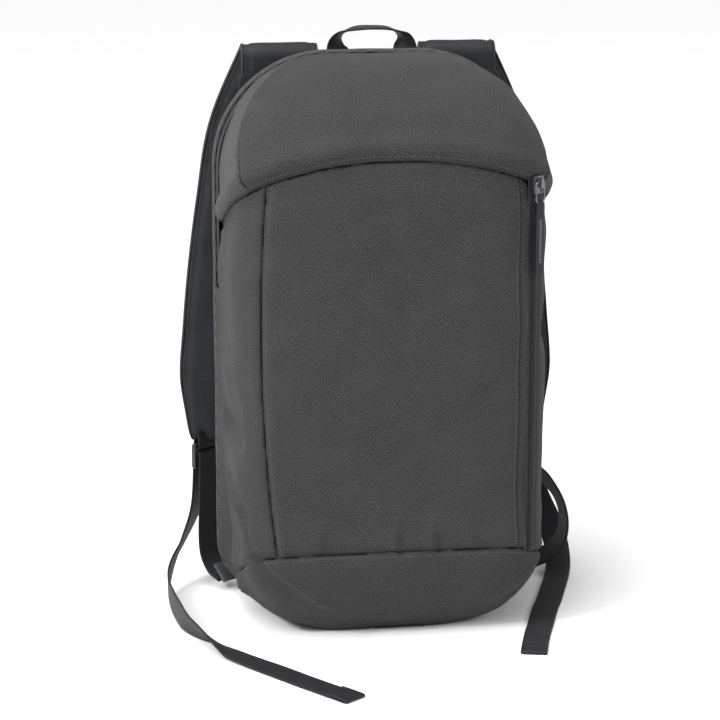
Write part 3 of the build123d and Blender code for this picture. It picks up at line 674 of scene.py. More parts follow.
def relief(points):
    """How far the cloth stands out from the plain form: fullness, seams, folds and creases."""
    x, y, z = points[..., 0], points[..., 1], points[..., 2]
    hood, base = hood_height(x, y, z), base_height(x, y, z)
    rise = lumps(points, 95.0, 3.1) * 2.4 + lumps(points, 42.0, 9.7) * 1.5 + lumps(points, 17.0, 5.3) * 0.6
    rise -= 3.8 * np.exp(-(hood / 3.6) ** 2)
    rise += 4.0 * np.exp(-((hood - 12) / 9.0) ** 2)
    rise -= 1.6 * np.exp(-((hood + 9) / 9.0) ** 2)
    rise -= 2.0 * np.exp(-(base / 2.6) ** 2)
    rise += 1.3 * np.exp(-((base + 10) / 9.0) ** 2) + 1.2 * np.exp(-((base - 9) / 8.0) ** 2)
    between = (hood < 0) & (base > 0)
    front = between & (y < -20)
    rise -= np.where(front, 1.3 * np.exp(-((x - seam_x(z)) / 1.8) ** 2), 0)
    rise += np.where(front, 0.8 * np.exp(-((x - seam_x(z) - 6) / 4.0) ** 2), 0)
    rise += np.where(front, 0.8 * np.exp(-((x - seam_x(z) + 6) / 4.0) ** 2), 0)
    # puckers where the base seam gathers the front
    for place, lean in ((-3, 3), (58, -5), (92, 6), (-60, 4), (25, 2)):
        rise += crease(points, [(place, -73, 70), (place + lean * 0.4, -74, 84), (place + lean, -74, 100)],
                       3.0, 2.4, 1.4)
        rise -= crease(points, [(place + 6, -73, 70), (place + 6, -74, 86)], 3.2, 1.8, 1.4)
    # creases at the lower corners
    rise += crease(points, [(-124, 12, 128), (-121, -35, 100), (-104, -60, 72), (-80, -64, 50),
                            (-40, -62, 22)], 3.6, 7.0, 1.15)
    rise -= crease(points, [(-124, 2, 112), (-117, -45, 84), (-96, -60, 56), (-62, -62, 32)], 8.0, 5.0, 1.6)
    rise += crease(points, [(-120, 20, 20), (-100, -30, 14), (-60, -52, 8)], 4.2, 4.4, 1.3)
    rise += crease(points, [(118, -35, 66), (100, -60, 44), (70, -64, 24)], 3.8, 5.2, 1.2)
    rise -= crease(points, [(121, -22, 56), (108, -52, 34), (84, -60, 18)], 7.0, 3.6, 1.6)
    # pinches in the sides
    rise -= crease(points, [(-123, 40, 152), (-123, -10, 156), (-118, -48, 162)], 13.0, 7.5, 1.8)
    rise -= crease(points, [(123, 40, 228), (123, -10, 233), (116, -50, 238)], 12.0, 6.0, 1.8)
    # long soft folds down the side panels
    rise += crease(points, [(-123, 30, 285), (-123, 10, 230), (-122, -20, 180)], 9.0, 2.2, 1.7)
    rise += crease(points, [(123, 20, 290), (123, 0, 200), (120, -20, 120)], 10.0, 2.0, 1.7)
    # the left side draws in above the base, and the front corners round off near the floor
    rise -= 6.0 * np.exp(-((z - 66) / 50.0) ** 2) * np.clip(-x / HALF_WIDTH, 0, 1) ** 4
    for side in (-1, 1):
        near = np.linalg.norm(points - np.array((side * 112.0, -32.0, 8.0)), axis=-1)
        rise -= (9.0 if side < 0 else 6.5) * np.exp(-(near / 38.0) ** 2)
        point, facing = ridge(side)
        over = (points - np.array(point)) @ (np.array(facing) / facing.length)
        rise += np.where(hood > 0, 3.4 * np.exp(-np.abs(over) / 7.0) - 2.0 * np.exp(-(over / 1.4) ** 2), 0)
    # slack folds in the hood
    rise += crease(points, [(-118, 30, 318), (-112, -25, 340), (-90, -58, 368)], 6.0, 4.2, 1.3)
    rise -= crease(points, [(-120, 20, 332), (-108, -30, 356), (-84, -50, 382)], 7.0, 3.6, 1.6)
    for side in (-1, 1):
        rise -= crease(points, [(side * 60, 24, 426), (side * 84, -14, 403), (side * 108, -14, 366),
                                (side * 116, 0, 334)], 6.5, 3.6, 1.5)
        rise += crease(points, [(side * 56, -20, 416), (side * 88, -44, 384), (side * 112, -34, 348)],
                       8.0, 3.0, 1.5)
    rise += crease(points, [(-70, -45, 398), (-20, -52, 392), (40, -50, 396)], 16.0, 1.6, 1.8)
    rise += crease(points, [(112, -20, 352), (96, -50, 372), (70, -58, 384)], 6.0, 3.2, 1.4)
    rise -= 3.4 * np.clip((np.abs(x) - 90) / 30, 0, 1)
    # the shell is held true where it meets the zip and the back
    return rise * np.clip((60 - y) / 16, 0.05, 1) * (1 - 0.8 * np.clip((z - 404) / 26, 0, 1))


plain = shell_grid()
outward = normals_of(plain)
rise = relief(plain)
full = plain + outward * rise[..., None]
full[..., 1] = np.minimum(full[..., 1], GUSSET_Y)
full[..., 2] = np.maximum(full[..., 2], 0.3)
rows_up = np.concatenate([[0], np.cumsum(np.linalg.norm(np.diff(plain[:, COLUMNS // 2], axis=0), axis=1))])
cloth_place = np.zeros(plain.shape[:2] + (2,))
step = np.linalg.norm(np.diff(plain, axis=1), axis=2)
reach_round = np.concatenate([np.zeros((len(plain), 1)), np.cumsum(step, axis=1)], axis=1)
cloth_place[..., 0] = reach_round - reach_round[:, -1:] / 2
cloth_place[..., 1] = rows_up[:, None]
shell = make_piece("shell_pattern", full.reshape(-1, 3), grid_faces(*plain.shape[:2]), shell_twill,
                   cloth_place.reshape(-1, 2))

# ------------------------------------------------------------------ cutting the shell into its panels


hood_cut = (Vector((0, FRONT_Y, HOOD_Z)), Vector((0, -HOOD_FALL, 1)), droop)
base_cut = (Vector((0, FRONT_Y, BASE_TOP_Z)), Vector((0, -BASE_FALL, 1)), None)
opening = (Vector((0, OPENING_Y, 0)), Vector((0, 1, 0)), None)
left_seam = (Vector((SIDE_SEAM_X, 0, 0)), Vector((1, 0, 0)), bow)
placket_cut = (ZIP_POINT - ZIP_ALONG * (ZIP_GAP + PLACKET), ZIP_ALONG, None)
slot_left = (ZIP_POINT - ZIP_ALONG * ZIP_GAP, ZIP_ALONG, None)
slot_right = (ZIP_POINT + ZIP_ALONG * ZIP_GAP, ZIP_ALONG, None)
front_half = (Vector((0, 0, 0)), Vector((0, 1, 0)), None)
left_ridge, right_ridge = [(*ridge(side), None) for side in (-1, 1)]
ABOVE, BELOW = 1, -1
patterns = {
    "front_panel": [(left_seam, ABOVE), (placket_cut, BELOW), (hood_cut, BELOW), (base_cut, ABOVE),
                    (front_half, BELOW)],
    "zip_placket": [(placket_cut, ABOVE), (slot_left, BELOW), (hood_cut, BELOW), (base_cut, ABOVE)],
    "side_panel_left": [(hood_cut, BELOW), (base_cut, ABOVE), (left_seam, BELOW)],
    "side_panel_right": [(hood_cut, BELOW), (base_cut, ABOVE), (slot_right, ABOVE)],
    "hood_panel": [(hood_cut, ABOVE), (opening, BELOW), (left_ridge, ABOVE), (right_ridge, ABOVE)],
    "upper_gusset_left": [(hood_cut, ABOVE), (opening, BELOW), (left_ridge, BELOW)],
    "upper_gusset_right": [(hood_cut, ABOVE), (opening, BELOW), (right_ridge, BELOW)],
    "base_panel": [(base_cut, BELOW)],
}
SHELL_THICK, GUSSET_THICK, BACK_THICK = 1.6, 1.2, 1.4     # of the drawn cloths


def cut_panel(name, cuts):
    bm = bmesh.new()
    bm.from_mesh(shell.data)
    for (point, facing, bend), keep in cuts:
        if bend:
            for vert in bm.verts:
                vert.co += bend(vert.co / MM) * MM
        bmesh.ops.bisect_plane(bm, geom=[*bm.verts, *bm.edges, *bm.faces], plane_co=point * MM,
                               plane_no=facing, clear_inner=keep == ABOVE, clear_outer=keep == BELOW)
        if bend:
            for vert in bm.verts:
                vert.co -= bend(vert.co / MM) * MM
    if name.startswith("side_panel"):
        for point, facing in (((0, OPENING_Y, 0), (0, 1, 0)), ((0, 0, OPENING_END_Z), (0, 0, 1))):
            bmesh.ops.bisect_plane(bm, geom=[*bm.verts, *bm.edges, *bm.faces],
                                   plane_co=Vector(point) * MM, plane_no=facing)
        above = [f for f in bm.faces if f.calc_center_median().y > OPENING_Y * MM
                 and f.calc_center_median().z > OPENING_END_Z * MM]
        bmesh.ops.delete(bm, geom=above, context="FACES")
    near_edge = {v for e in bm.edges if e.is_boundary for end in e.verts for v in
                 [end, *(other.other_vert(end) for other in end.link_edges)] if v.co.z < 0.415}
    bmesh.ops.remove_doubles(bm, verts=list(near_edge), dist=0.6 * MM)
    # raw edges roll in under the seams
    edge_verts = {v for e in bm.edges if e.is_boundary for v in e.verts}
    bm.normal_update()
    for vert in edge_verts:
        vert.co -= vert.normal * 0.9 * MM
    mesh = bpy.data.meshes.new(f"{name}_cloth")
    bm.to_mesh(mesh)
    bm.free()
    piece = bpy.data.objects.new(f"{name}_cloth", mesh)
    scene.collection.objects.link(piece)
    mesh.materials.clear()
    mesh.materials.append(gusset_rib if "gusset" in name else shell_twill)
    mesh.shade_smooth()
    thicken(piece, SHELL_THICK)
    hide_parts(name)
    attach(piece, "root")
    return piece


panels = {name: cut_panel(name, cuts) for name, cuts in patterns.items()}
bpy.data.objects.remove(shell)


def inner_layer(name, node, depth, shown):
    """Plain inner cloth that follows the shell at a depth inside it."""
    points = full - outward * depth
    points[..., 2] = np.maximum(points[..., 2], 3.0)
    faces = grid_faces(*plain.shape[:2])
    middle = plain.reshape(-1, 3)[faces].mean(1)
    piece = make_piece(name, points.reshape(-1, 3), faces[shown(*middle.T)], black_nylon,
                       cloth_place.reshape(-1, 2))
    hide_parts(node)
    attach(piece, "root")


inner_layer("lining_cloth", "main_lining", 9.0, lambda x, y, z: (y < 40) & (z > 6) & (z < 420))
inner_layer("pocket_cloth", "pocket_wall", 5.5,
            lambda x, y, z: ((y < -20) & (np.abs(x) < 96) & (base_height(x, y, z) > 4)
                             & (hood_height(x, y, z) < -4)))


def contour(field, kept, by_column):
    """Line of points on the shell where a field of the flat form passes through nought."""
    swap = (lambda v: v.swapaxes(0, 1)) if by_column else (lambda v: v)
    line = []
    for value, here, place, way in zip(swap(field), swap(kept), swap(full), swap(outward)):
        crossing = np.nonzero((value[:-1] * value[1:] <= 0) & here[:-1] & here[1:])[0]
        if len(crossing):
            i = crossing[0]
            t = value[i] / (value[i] - value[i + 1] + 1e-9)
            line.append(place[i] * (1 - t) + place[i + 1] * t + way[i] * 0.15)
    return line


X, Y, Z = plain[..., 0], plain[..., 1], plain[..., 2]
under_hood, over_base = hood_height(X, Y, Z) < -1, base_height(X, Y, Z) > 1
faced = under_hood & over_base & (Y < 0)
from_zip = (plain - np.array(ZIP_POINT)) @ np.array(ZIP_ALONG)
seam_runs = [contour(hood_height(X, Y, Z) - 3.4, Y < 45, True),
             contour(base_height(X, Y, Z) + 3.2, (Y < 55) & (Z > 8), True),
             contour(X - seam_x(Z) - 2.6, faced, False),
             contour(from_zip + ZIP_GAP + PLACKET + 2.4, faced, False),
             contour(from_zip + ZIP_GAP + 2.2, faced, False),
             contour(from_zip - ZIP_GAP - 2.2, faced, False)]
for left in (True, False):
    seam_runs.append(contour(Y - OPENING_Y + 2.6, (Z > OPENING_END_Z) & (X < 0 if left else X > 0), False))
seam_sewing = stitches("seam_stitches", seam_runs, grey_thread, 2.9, 2.0, 0.26)
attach(seam_sewing, "root")


def solid_area(node, thickness):
    """Area of the cloth in a CAD panel, in square metres: its volume over its thickness."""
    bm = bmesh.new()
    bm.from_mesh(bpy.data.objects[node].data)
    volume = abs(bm.calc_volume())
    bm.free()
    return volume / (thickness * MM)


def box_run(node, axes):
    """A CAD panel's box sizes along the axes that it runs over, added up, in metres."""
    low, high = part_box(node)
    return sum(high[axis] - low[axis] for axis in axes)


def declare_sheet(node, thickness):
    """Works out the area of cloth in the CAD panel that a cloth piece stands for, not of its own mesh; the area is
    not kept. Declares a cloth piece by the CAD panel it stands for, not by its own mesh.
    """
    area = solid_area(node, thickness)


SOLID_WALL = 2.2                # thickness of the CAD's shell panels
ACROSS, DEEP, UP = (0,), (1,), (2,)
for name, piece in panels.items():
    declare_sheet(name, SOLID_WALL)

# ------------------------------------------------------------------ back gusset and back panel


def outline_ring(inset, y, count):
    """Closed ring of the bag's front-view outline at one depth."""
    low_x, crown_x = HALF_WIDTH - BASE_CORNER, HALF_WIDTH - CROWN_RADIUS
    crown_z = HEIGHT - CROWN_RADIUS
    ring = []
    arcs = [(low_x, BASE_CORNER, BASE_CORNER, -90), (crown_x, crown_z, CROWN_RADIUS, 0),
            (-crown_x, crown_z, CROWN_RADIUS, 90), (-low_x, BASE_CORNER, BASE_CORNER, 180)]
    for x, z, radius, start in arcs:
        for a in np.radians(np.linspace(start, start + 90, 40)):
            ring.append((x + (radius - inset) * math.cos(a), y, z + (radius - inset) * math.sin(a)))
    ring.append(ring[0])
    return even_line(np.array(ring), count + 1)[:count]


RING = 420                      # points round the bag's outline
OUTLINE_LENGTH = 1250           # and about how long it is, to lay the weave out on it


def ring_piece(name, rings, finish, node):
    """Band of cloth between rings of the outline."""
    grid = np.array([outline_ring(inset, y, RING) for inset, y in rings])
    out = unit(grid - np.array((0, 0, 215.0)) * [1, 0, 1] - grid * [0, 1, 0])
    wave = lumps(grid, 30.0, 7.7) * 0.5
    grid = grid + out * wave[..., None]
    grid[..., 2] = np.maximum(grid[..., 2], 0.6)
    size = np.linalg.norm(np.diff(grid, axis=0), axis=2)
    down = np.concatenate([np.zeros((1, RING)), np.cumsum(size, axis=0)])
    round_place = np.broadcast_to(np.arange(RING) * (OUTLINE_LENGTH / RING), down.shape)
    piece = make_piece(name, grid.reshape(-1, 3), grid_faces(len(rings), RING, around=True), finish,
                       np.stack([round_place, down], 2).reshape(-1, 2))
    thicken(piece, GUSSET_THICK)
    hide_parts(node)
    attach(piece, "root")
    return piece


gusset = ring_piece(
    "back_gusset_cloth", [(2.4, 59.2), (1.4, 60), (1.0, 62), (1.0, 65), (1.2, 68), (2.4, 69.9)],
    gusset_rib, "back_gusset")
declare_sheet("back_gusset", SOLID_WALL)


def panel_inside(inset, y, rings):
    """Filled back panel: rings of the outline shrinking to a line up the middle."""
    grid = []
    for share in np.linspace(1, 0.02, rings):
        ring = outline_ring(inset, y, RING)
        ring[:, 0] *= share
        middle = np.clip(ring[:, 2], 70, 360)
        ring[:, 2] = middle + (ring[:, 2] - middle) * (0.15 + 0.85 * share)
        grid.append(ring)
    return np.array(grid)


back_grid = panel_inside(2.6, BACK_Y - 1.2, 40)
back_grid[0, :, 1] = PANEL_Y + 0.4
back_grid[1:, :, 1] += lumps(back_grid[1:], 60.0, 12.2) * 0.9 + lumps(back_grid[1:], 22.0, 2.2) * 0.4
back_place = np.stack([back_grid[..., 0], back_grid[..., 2]], 2).reshape(-1, 2)
back_cloth = make_piece("back_panel_cloth", back_grid.reshape(-1, 3),
                        grid_faces(40, RING, around=True)[:, ::-1], shell_twill, back_place)
thicken(back_cloth, BACK_THICK)
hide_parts("back_panel")
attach(back_cloth, "root")
declare_sheet("back_panel",
              BACK_Y - PANEL_Y)


TUBE_SIDES = 10


def loop_tube(name, ring, radius, finish):
    """Piping round a closed line."""
    count = len(ring)
    along = unit(np.roll(ring, -1, 0) - np.roll(ring, 1, 0))
    side = unit(np.cross(along, np.array((0, 1.0, 0.02))))
    up = np.cross(along, side)
    turn = np.linspace(0, 2 * math.pi, TUBE_SIDES, endpoint=False)
    rings = (ring[:, None] + (side[:, None] * np.cos(turn)[None, :, None]
                              + up[:, None] * np.sin(turn)[None, :, None]) * radius)
    reach = np.concatenate([[0], np.cumsum(np.linalg.norm(np.diff(ring, axis=0), axis=1))])
    cloth = np.stack([np.broadcast_to(turn * radius, (count, TUBE_SIDES)),
                      np.broadcast_to(reach[:, None], (count, TUBE_SIDES))], 2).reshape(-1, 2)
    faces = [list(f) for f in grid_faces(count, TUBE_SIDES, around=True)]
    last = (count - 1) * TUBE_SIDES
    faces += [[last + j, last + (j + 1) % TUBE_SIDES, (j + 1) % TUBE_SIDES, j]
              for j in range(TUBE_SIDES)]
    return make_piece(name, rings.reshape(-1, 3), faces, finish, cloth)


piping_ring = outline_ring(2.0, PANEL_Y - 0.4, 400)
piping_ring[:, 2] = np.maximum(piping_ring[:, 2], 2.0)
piping = loop_tube("back_piping", piping_ring, 1.5, black_nylon)
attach(piping, "root")

# ------------------------------------------------------------------ back pad and yoke

PAD_HALF = corner("back_pad", 1, 0)
PAD_LOW, PAD_HIGH = corner("back_pad", 0, 2), corner("back_pad", 1, 2)
PAD_CORNER = 26.0


def cushion(name, x_half, z_low, z_high, y_back, depth, corner_radius, finish, quilt):
    """Padded cushion that lies on the back panel, drawn in by its quilting."""
    across = np.linspace(-1, 1, 90)
    up = np.linspace(0, 1, 150)
    u, v = np.meshgrid(across, up)
    z = z_low + (z_high - z_low) * v
    edge = np.minimum(z - z_low, z_high - z)
    rounding = np.sqrt(np.maximum(corner_radius**2 - (corner_radius - edge) ** 2, 0))
    inset = np.where(edge < corner_radius, corner_radius - rounding, 0)
    x = u * (x_half - inset)
    rim = np.minimum((1 - np.abs(u)) * x_half, edge)
    puff = 1 - np.exp(-np.maximum(rim, 0) / 4.5)
    y = y_back + depth * puff - quilt(x, z) * puff
    y += lumps(np.stack([x, y, z], 2), 26.0, 4.4) * 0.35 * puff
    front = np.stack([x, y, z], 2)
    back = front.copy()
    back[..., 1] = y_back - 0.4
    points = np.vstack([front.reshape(-1, 3), back.reshape(-1, 3)])
    rows, columns = front.shape[:2]
    size = rows * columns
    faces = [list(f) for f in grid_faces(rows, columns)[:, ::-1]]
    faces += [[k + size for k in f] for f in grid_faces(rows, columns)]
    border = ([*range(columns)] + [(i + 1) * columns - 1 for i in range(1, rows)]
              + [size - 1 - j for j in range(1, columns)]
              + [size - columns - i * columns for i in range(1, rows - 1)])
    faces += [[a, b, b + size, a + size] for a, b in zip(border, border[1:] + border[:1])]
    place = np.vstack([np.stack([x, z], 2).reshape(-1, 2)] * 2)
    return make_piece(name, points, faces, finish, place)


def quilting(x, z):
    grooves = np.zeros_like(x)
    for middle in (-32, 32):
        grooves = np.maximum(grooves, np.exp(-((x - middle) / 2.6) ** 2))
    for middle in (120, 200, 280):
        grooves = np.maximum(grooves, np.exp(-((z - middle + 0.12 * np.abs(x)) / 2.6) ** 2))
    return grooves * 3.6


pad = cushion("back_pad_mesh", PAD_HALF, PAD_LOW, PAD_HIGH, BACK_Y, 6.2, PAD_CORNER, black_mesh,
              quilting)
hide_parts("back_pad")
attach(pad, "root")
edge_ring = []
for a, b in (((1, 1), 0), ((-1, 1), 90), ((-1, -1), 180), ((1, -1), 270)):
    middle = ((PAD_HALF - PAD_CORNER) * a[0], PAD_LOW + PAD_CORNER if a[1] < 0 else PAD_HIGH - PAD_CORNER)
    for turn in np.radians(np.linspace(b, b + 90, 16)):
        edge_ring.append((middle[0] + PAD_CORNER * math.cos(turn), BACK_Y + 0.8,
                          middle[1] + PAD_CORNER * math.sin(turn)))
edge_ring.append(edge_ring[0])
pad_binding = loop_tube("back_pad_binding", even_line(np.array(edge_ring), 260)[:-1], 1.9, black_nylon)
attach(pad_binding, "root")

yoke_low, yoke_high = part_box("yoke")
yoke_z = (yoke_low[2] / MM, yoke_high[2] / MM)
yoke = cushion("yoke_cloth", yoke_high[0] / MM, yoke_z[0], yoke_z[1], BACK_Y, 2.3, 6.0, black_nylon,
               lambda x, z: np.exp(-((z - yoke_z[0] - 5) / 1.2) ** 2) * 0.8)
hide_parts("yoke")
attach(yoke, "root")
declare_sheet("yoke", box_run("yoke", DEEP) / MM)

# ------------------------------------------------------------------ shoulder straps

strap_high, strap_low = 424.0, 118.0
outer_edge = [(98, 424), (124, 363), (133, 312), (145, 213), (148, 158), (142, 121)]
inner_edge = [(118, 121), (94, 158), (87, 213), (75, 312), (66, 363), (40, 424)]
STRAP_Y = 90.5
STRAP_THICK = 7.4
FOLD_Y, FOLD_Z = 84.0, 424.0
FOLD_RADIUS = 6.7
STRAP_ROWS = 170


def spline_x(edge, z):
    """Edge of the strap at each height, through its own points."""
    p = np.array(sorted(edge, key=lambda q: q[1]), float)
    slope = np.gradient(p[:, 0], p[:, 1])
    i = np.clip(np.searchsorted(p[:, 1], z) - 1, 0, len(p) - 2)
    z0, z1 = p[i, 1], p[i + 1, 1]
    t = np.clip((z - z0) / (z1 - z0), 0, 1)
    h = z1 - z0
    return ((2 * t**3 - 3 * t**2 + 1) * p[i, 0] + (t**3 - 2 * t**2 + t) * h * slope[i]
            + (3 * t**2 - 2 * t**3) * p[i + 1, 0] + (t**3 - t**2) * h * slope[i + 1])


def strap_rows(side):
    """Middle, half width and half thickness along one strap, from its root over the fold to its foot."""
    z_down = np.linspace(strap_high, strap_low, 130)
    outer, inner = spline_x(outer_edge, z_down), spline_x(inner_edge, z_down)
    root = [(78.0, 397.0), (78.0, 410.0)]
    fold = [(FOLD_Y + FOLD_RADIUS * math.cos(a), FOLD_Z + FOLD_RADIUS * math.sin(a))
            for a in np.radians(np.linspace(180, 0, 24))]
    yz = root + fold
    rows = [(side * 69, y, z, 29.0, 2.7 + 0.9 * i / len(yz)) for i, (y, z) in enumerate(yz)]
    for z, a, b in zip(z_down[1:], outer[1:], inner[1:]):
        foot = max(0.0, (132 - z) / 14)
        end = min(1.0, max(0.0, (127 - z) / 9))
        rows.append((side * (a + b) / 2, STRAP_Y, z, (a - b) / 2 - 5 * (1 - math.sqrt(1 - end**2)),
                     STRAP_THICK / 2 * (1 - 0.55 * foot**2)))
    return even_line(np.array(rows), STRAP_ROWS)


def cross_creases(rows, side):
    """Ripples where the padding buckles across the strap."""
    z = rows[:, 2]
    ripple = np.zeros(len(rows))
    for place, width, depth in ((372, 5, 0.9), (352, 6, 0.7), (208, 5, 1.0), (196, 4, 0.8), (330, 9, 0.5),
                                (262, 10, 0.4), (176, 5, 0.7)):
        ripple -= depth * np.exp(-((z - place - side * 2) / width) ** 2)
    return ripple


STRAP_SECTION = puffed_section(44)
STITCH_LIFT = 0.1               # how far stitches stand off the cloth


def on_cloth(tree, points, ways):
    """The points carried onto the cloth against their ways, leaving out those that miss it."""
    found = []
    for point, way in zip(points, ways):
        hit = tree.ray_cast(Vector((point + way * 12) * MM), Vector(-way))
        if hit[0]:
            found.append(np.array(hit[0]) / MM + way * STITCH_LIFT)
    return found


def strap_piece(side, label):
    rows = strap_rows(side)
    line, half = rows[:, :3], rows[:, 3]
    across = np.tile((float(side), 0, 0), (len(rows), 1))
    piece, rings = band(f"strap_{label}", line, across, half, rows[:, 4] + cross_creases(rows, side) * 0.4,
                        STRAP_SECTION, black_nylon)
    # crowned face drawn in at the topstitch line near both edges
    mesh = piece.data
    u = STRAP_SECTION[:, 0]
    draw = np.exp(-((np.abs(u) - 0.83) / 0.05) ** 2) * 0.7
    offset = np.sign(STRAP_SECTION[:, 1]) * -draw
    tangent = unit(np.gradient(line, axis=0))
    side_way = unit(across - (across * tangent).sum(1, keepdims=True) * tangent)
    out = np.cross(tangent, side_way)
    rings = rings + out[:, None] * offset[None, :, None]
    rough = lumps(rings, 24.0, 6.1 + side) * 0.55 + lumps(rings, 11.0, 2.4) * 0.25
    rings = rings + out[:, None] * (np.sign(STRAP_SECTION[:, 1])[None, :] * rough)[..., None]
    mesh.vertices.foreach_set("co", (rings * MM).ravel())
    mesh.update()
    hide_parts(*[f"{part}_{label}" for part in ("strap_root", "strap_face", "strap_foam",
                                                       "strap_lining", "strap_binding")])
    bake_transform(piece)
    # binding tape folded over both edges
    for edge, word in ((1, "outer"), (-1, "inner")):
        margin = line + side_way * (half * edge * 0.985)[:, None]
        tape, _ = band(f"strap_binding_{word}_{label}", margin, out, rows[:, 4] * 0.62 + 0.5, 1.0,
                       puffed_section(14, 2.0), tape_knit)
        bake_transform(tape)
    runs = []
    below = line[:, 1] > 86
    tree = BVHTree.FromObject(piece, bpy.context.evaluated_depsgraph_get())
    for inset in (-0.84, 0.84, -0.12, 0.12):
        run = line[below] + side_way[below] * (half[below] * inset)[:, None]
        runs.append(on_cloth(tree, run, out[below]))
    # square with a cross in it that holds the webbing
    low, high, wide = 143.0, 170.0, 10.0
    level = np.array([156.0])
    middle = side * (spline_x(outer_edge, level) + spline_x(inner_edge, level))[0] / 2
    box = [(middle - wide, low), (middle + wide, low), (middle + wide, high), (middle - wide, high),
           (middle - wide, low)]
    lines = [box[:2], box[1:3], box[2:4], box[3:5], [box[0], box[2]], [box[1], box[3]]]
    for a, b in lines:
        for facing in (1, -1):
            straight = [np.array((a[0] + (b[0] - a[0]) * t, STRAP_Y, a[1] + (b[1] - a[1]) * t))
                        for t in np.linspace(0, 1, 12)]
            run = on_cloth(tree, straight, [np.array((0.0, facing, 0.0))] * 12)
            if len(run) > 2:
                runs.append(run)
    sewn = stitches(f"strap_stitches_{label}", runs, black_thread)
    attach(sewn, f"{label}_strap")


for side_sign, side_label in ((-1, "left"), (1, "right")):
    strap_piece(side_sign, side_label)

# ------------------------------------------------------------------ webbing of the straps, anchors and haul loop

lower_webbing = {
    "left": [((-127.1, 87.5, 103), (0.8, 0.6, 0)), ((-127.6, 87.8, 70), (0.8, 0.6, 0)),
             ((-128.4, 88, 44), (0.8, 0.6, 0)), ((-127.3, 86.6, 26), (0.8, 0.6, 0)),
             ((-122.2, 80.4, 13.6), (0.8, 0.6, 0)), ((-115, 72.4, 8.4), (0.8, 0.6, 0))],
    "right": [((127.1, 87.5, 103), (-0.8, 0.6, 0)), ((127.8, 86.4, 96), (-0.8, 0.6, 0)),
              ((132, 83.5, 89), (-0.72, 0.69, 0)), ((143, 77.5, 80), (-0.5, 0.87, 0)),
              ((153, 71.5, 66), (-0.25, 0.97, 0)), ((157.5, 68, 50), (-0.15, 0.99, 0)),
              ((156, 67, 34), (-0.2, 0.98, 0)), ((149, 69, 21), (-0.4, 0.92, 0)),
              ((137, 74, 14), (-0.65, 0.76, 0)), ((126, 78.8, 11), (-0.8, 0.6, 0)),
              ((115, 72.4, 8.4), (-0.8, 0.6, 0))],
}
for label, stations in lower_webbing.items():
    side = -1 if label == "left" else 1
    behind = np.array((-0.6 * side, -0.8, 0))
    lock = np.array((side * 129.0, 90.5, 0))
    wide = (-0.8 * side, 0.6, 0)
    wrap = [((side * 131.5, 95.2, 98), wide)]
    wrap += [(tuple(lock + behind * k + (0, 0, z)), wide)
             for k, z in ((-3.9, 104), (-3.0, 108), (-1.2, 110.3), (1.2, 110.3), (3.1, 107.6))]
    stations = wrap + stations
    loop, _ = ribbon(f"strap_end_loop_piece_{label}",
                     [(tuple(lock + behind * k + (0, 0, z)), wide)
                      for k, z in ((1.0, 127), (2.4, 120), (3.0, 116), (1.7, 112.9), (0, 112.3),
                                   (-1.7, 112.9), (-3.0, 116), (-2.4, 120), (-1.0, 127))],
                     WEB, 1.3, black_webbing, 60)
    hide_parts(f"strap_end_loop_{label}")
    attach(loop, f"{label}_strap")
    wing, _ = ribbon(f"anchor_wing_cloth_{label}",
                     [((side * x, y, z), wide) for x, y, z in ((111, 67, 9), (114, 71, 13.6),
                                                               (116, 73.9, 17), (118, 76.5, 20.4))],
                     19, 2.4, grey_nylon, 20)
    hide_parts(f"anchor_wing_{label}")
    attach(wing, "root")
    piece, _ = ribbon(f"lower_webbing_piece_{label}", stations, WEB, WEB_THICK, black_webbing)
    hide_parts(f"lower_webbing_{label}")
    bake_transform(piece)

haul_stations = [((-22, 76.6, 411), (1, 0, 0)), ((-23, 77, 422), (0.97, 0.2, 0)),
                 ((-25, 79, 432), (0.75, 0.66, 0)), ((-21, 80.5, 440), (0.35, 0.94, -0.1)),
                 ((-10, 81, 444), (0.05, 1, 0)), ((4, 81, 444.6), (0, 1, 0)),
                 ((17, 81, 443.4), (-0.1, 1, 0)), ((26, 80.5, 438.5), (-0.4, 0.92, 0)),
                 ((28, 79, 430), (-0.8, 0.6, 0)), ((27, 77, 420), (-0.97, 0.2, 0)),
                 ((26, 76.6, 411), (-1, 0, 0))]
haul, _ = ribbon("haul_loop_piece", haul_stations, WEB, WEB_THICK, black_webbing, 120)
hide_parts("haul_loop_webbing")
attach(haul, "haul_loop")
anchor_low, anchor_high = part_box("haul_loop_anchors")
z_low, z_high = anchor_low[2] / MM, anchor_high[2] / MM
anchor_runs = []
for x in (-22, 26):
    leg, _ = ribbon(f"haul_loop_leg_{'left' if x < 0 else 'right'}",
                    [((x, 76.6, z_high), (1, 0, 0)), ((x, 76.6, (z_low + z_high) / 2), (1, 0, 0)),
                     ((x, 76.6, z_low), (1, 0, 0))], WEB, WEB_THICK, black_webbing, 20)
    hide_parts("haul_loop_anchors")
    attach(leg, "root")
    for z in (z_high - 3, z_low + 3):
        anchor_runs.append([(x - 7.5, 77.5, z), (x + 7.5, 77.5, z)])
    anchor_runs.append([(x - 7.5, 77.5, z_low + 3), (x + 7.5, 77.5, z_high - 3)])
    anchor_runs.append([(x + 7.5, 77.5, z_low + 3), (x - 7.5, 77.5, z_high - 3)])
sewn = stitches("haul_loop_stitches", anchor_runs, black_thread)
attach(sewn, "root")

# ------------------------------------------------------------------ zips and their pull tabs

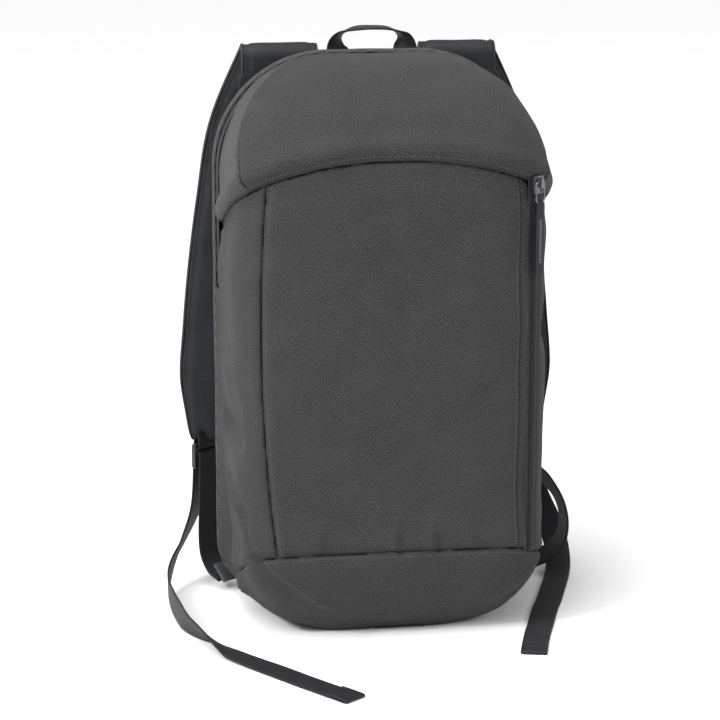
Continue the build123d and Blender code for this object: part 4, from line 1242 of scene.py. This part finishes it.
crown_line = outline_ring(2.8, MAIN_ZIP_Y, 900)
crown_line = even_line(crown_line[crown_line[:, 2] > OPENING_END_Z + 2], 400)
zip_line = {}
for label in ("front_zip_tape_left", "front_zip_tape_right", "front_zip_coil"):
    low, high = [np.array(end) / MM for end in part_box(label)]
    middle = (low + high) / 2
    zip_line[label] = np.array([(middle[0], middle[1], z) for z in np.linspace(low[2], high[2], 60)])
for label in ("main_zip_tape_front", "main_zip_tape_back"):
    low, high = [np.array(end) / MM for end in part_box(label)]
    zip_line[label] = crown_line + np.array((0, (low[1] + high[1]) / 2 - MAIN_ZIP_Y, 0))
zip_line["main_zip_coil"] = crown_line
for label, line in zip_line.items():
    front = label.startswith("front")
    across = np.tile(np.array(ZIP_ALONG) if front else (0, 1.0, 0), (len(line), 1))
    if label.endswith("coil"):
        teeth = []
        dense = even_line(line, int(np.linalg.norm(np.diff(line, axis=0), axis=1).sum() / 1.3))
        for i, point in enumerate(dense):
            reach = across[0] * 1.5
            shift = across[0] * (0.35 if i % 2 else -0.35)
            teeth.append([point - reach + shift, point + reach + shift])
        piece = stitches(f"{label}_teeth", teeth, coil_plastic, 1.6, 3.2, 0.5)
    else:
        low, high = [np.array(end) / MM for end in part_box(label)]
        wide = 2.9 if front else (high[1] - low[1]) / 2
        piece, _ = band(f"{label}_cloth", line, across, wide, 0.5, flat_section(0.3, 4, 2 * wide, 1.0),
                        tape_knit)
    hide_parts(label)
    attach(piece, "root")

for label, across in (("front", np.array(ZIP_ALONG)), ("main", np.array((0, 1.0, 0)))):
    low, high = [np.array(end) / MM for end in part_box(f"{label}_pull_tab")]
    middle = (low + high) / 2
    out = np.cross(across, (0, 0, 1.0))
    tab_line = np.array([(middle[0], middle[1], z) for z in np.linspace(high[2], low[2], 50)])
    taper = 3.3 - 1.4 * np.exp(-np.linspace(0, 9, 50))
    tab, _ = band(f"{label}_pull_tab_webbing", tab_line, np.tile(across, (50, 1)), taper, 1.1,
                  flat_section(0.5, 4, 6.5, 2.2), black_webbing)
    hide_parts(f"{label}_pull_tab")
    stripe, _ = band(f"{label}_pull_tab_stripe", tab_line[12:42] + out * 0.95, np.tile(across, (30, 1)), 1.3,
                     0.35, flat_section(0.3, 3, 2.6, 0.7), grey_thread)
    for piece in (tab, stripe):
        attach(piece, f"{label}_pull")

# ------------------------------------------------------------------ finishes of the pieces kept from the solid model

kept = {"front_zip_slider": slider_metal, "main_zip_slider": slider_metal,
        "front_pull_ring": slider_metal, "main_pull_ring": slider_metal,
        "ladder_lock_left": lock_plastic, "ladder_lock_right": lock_plastic,
        "back_foam": black_mesh, "base_pad": black_mesh}
for node, finish in kept.items():
    solid = bpy.data.objects[node]
    solid.data.materials.clear()
    solid.data.materials.append(finish)
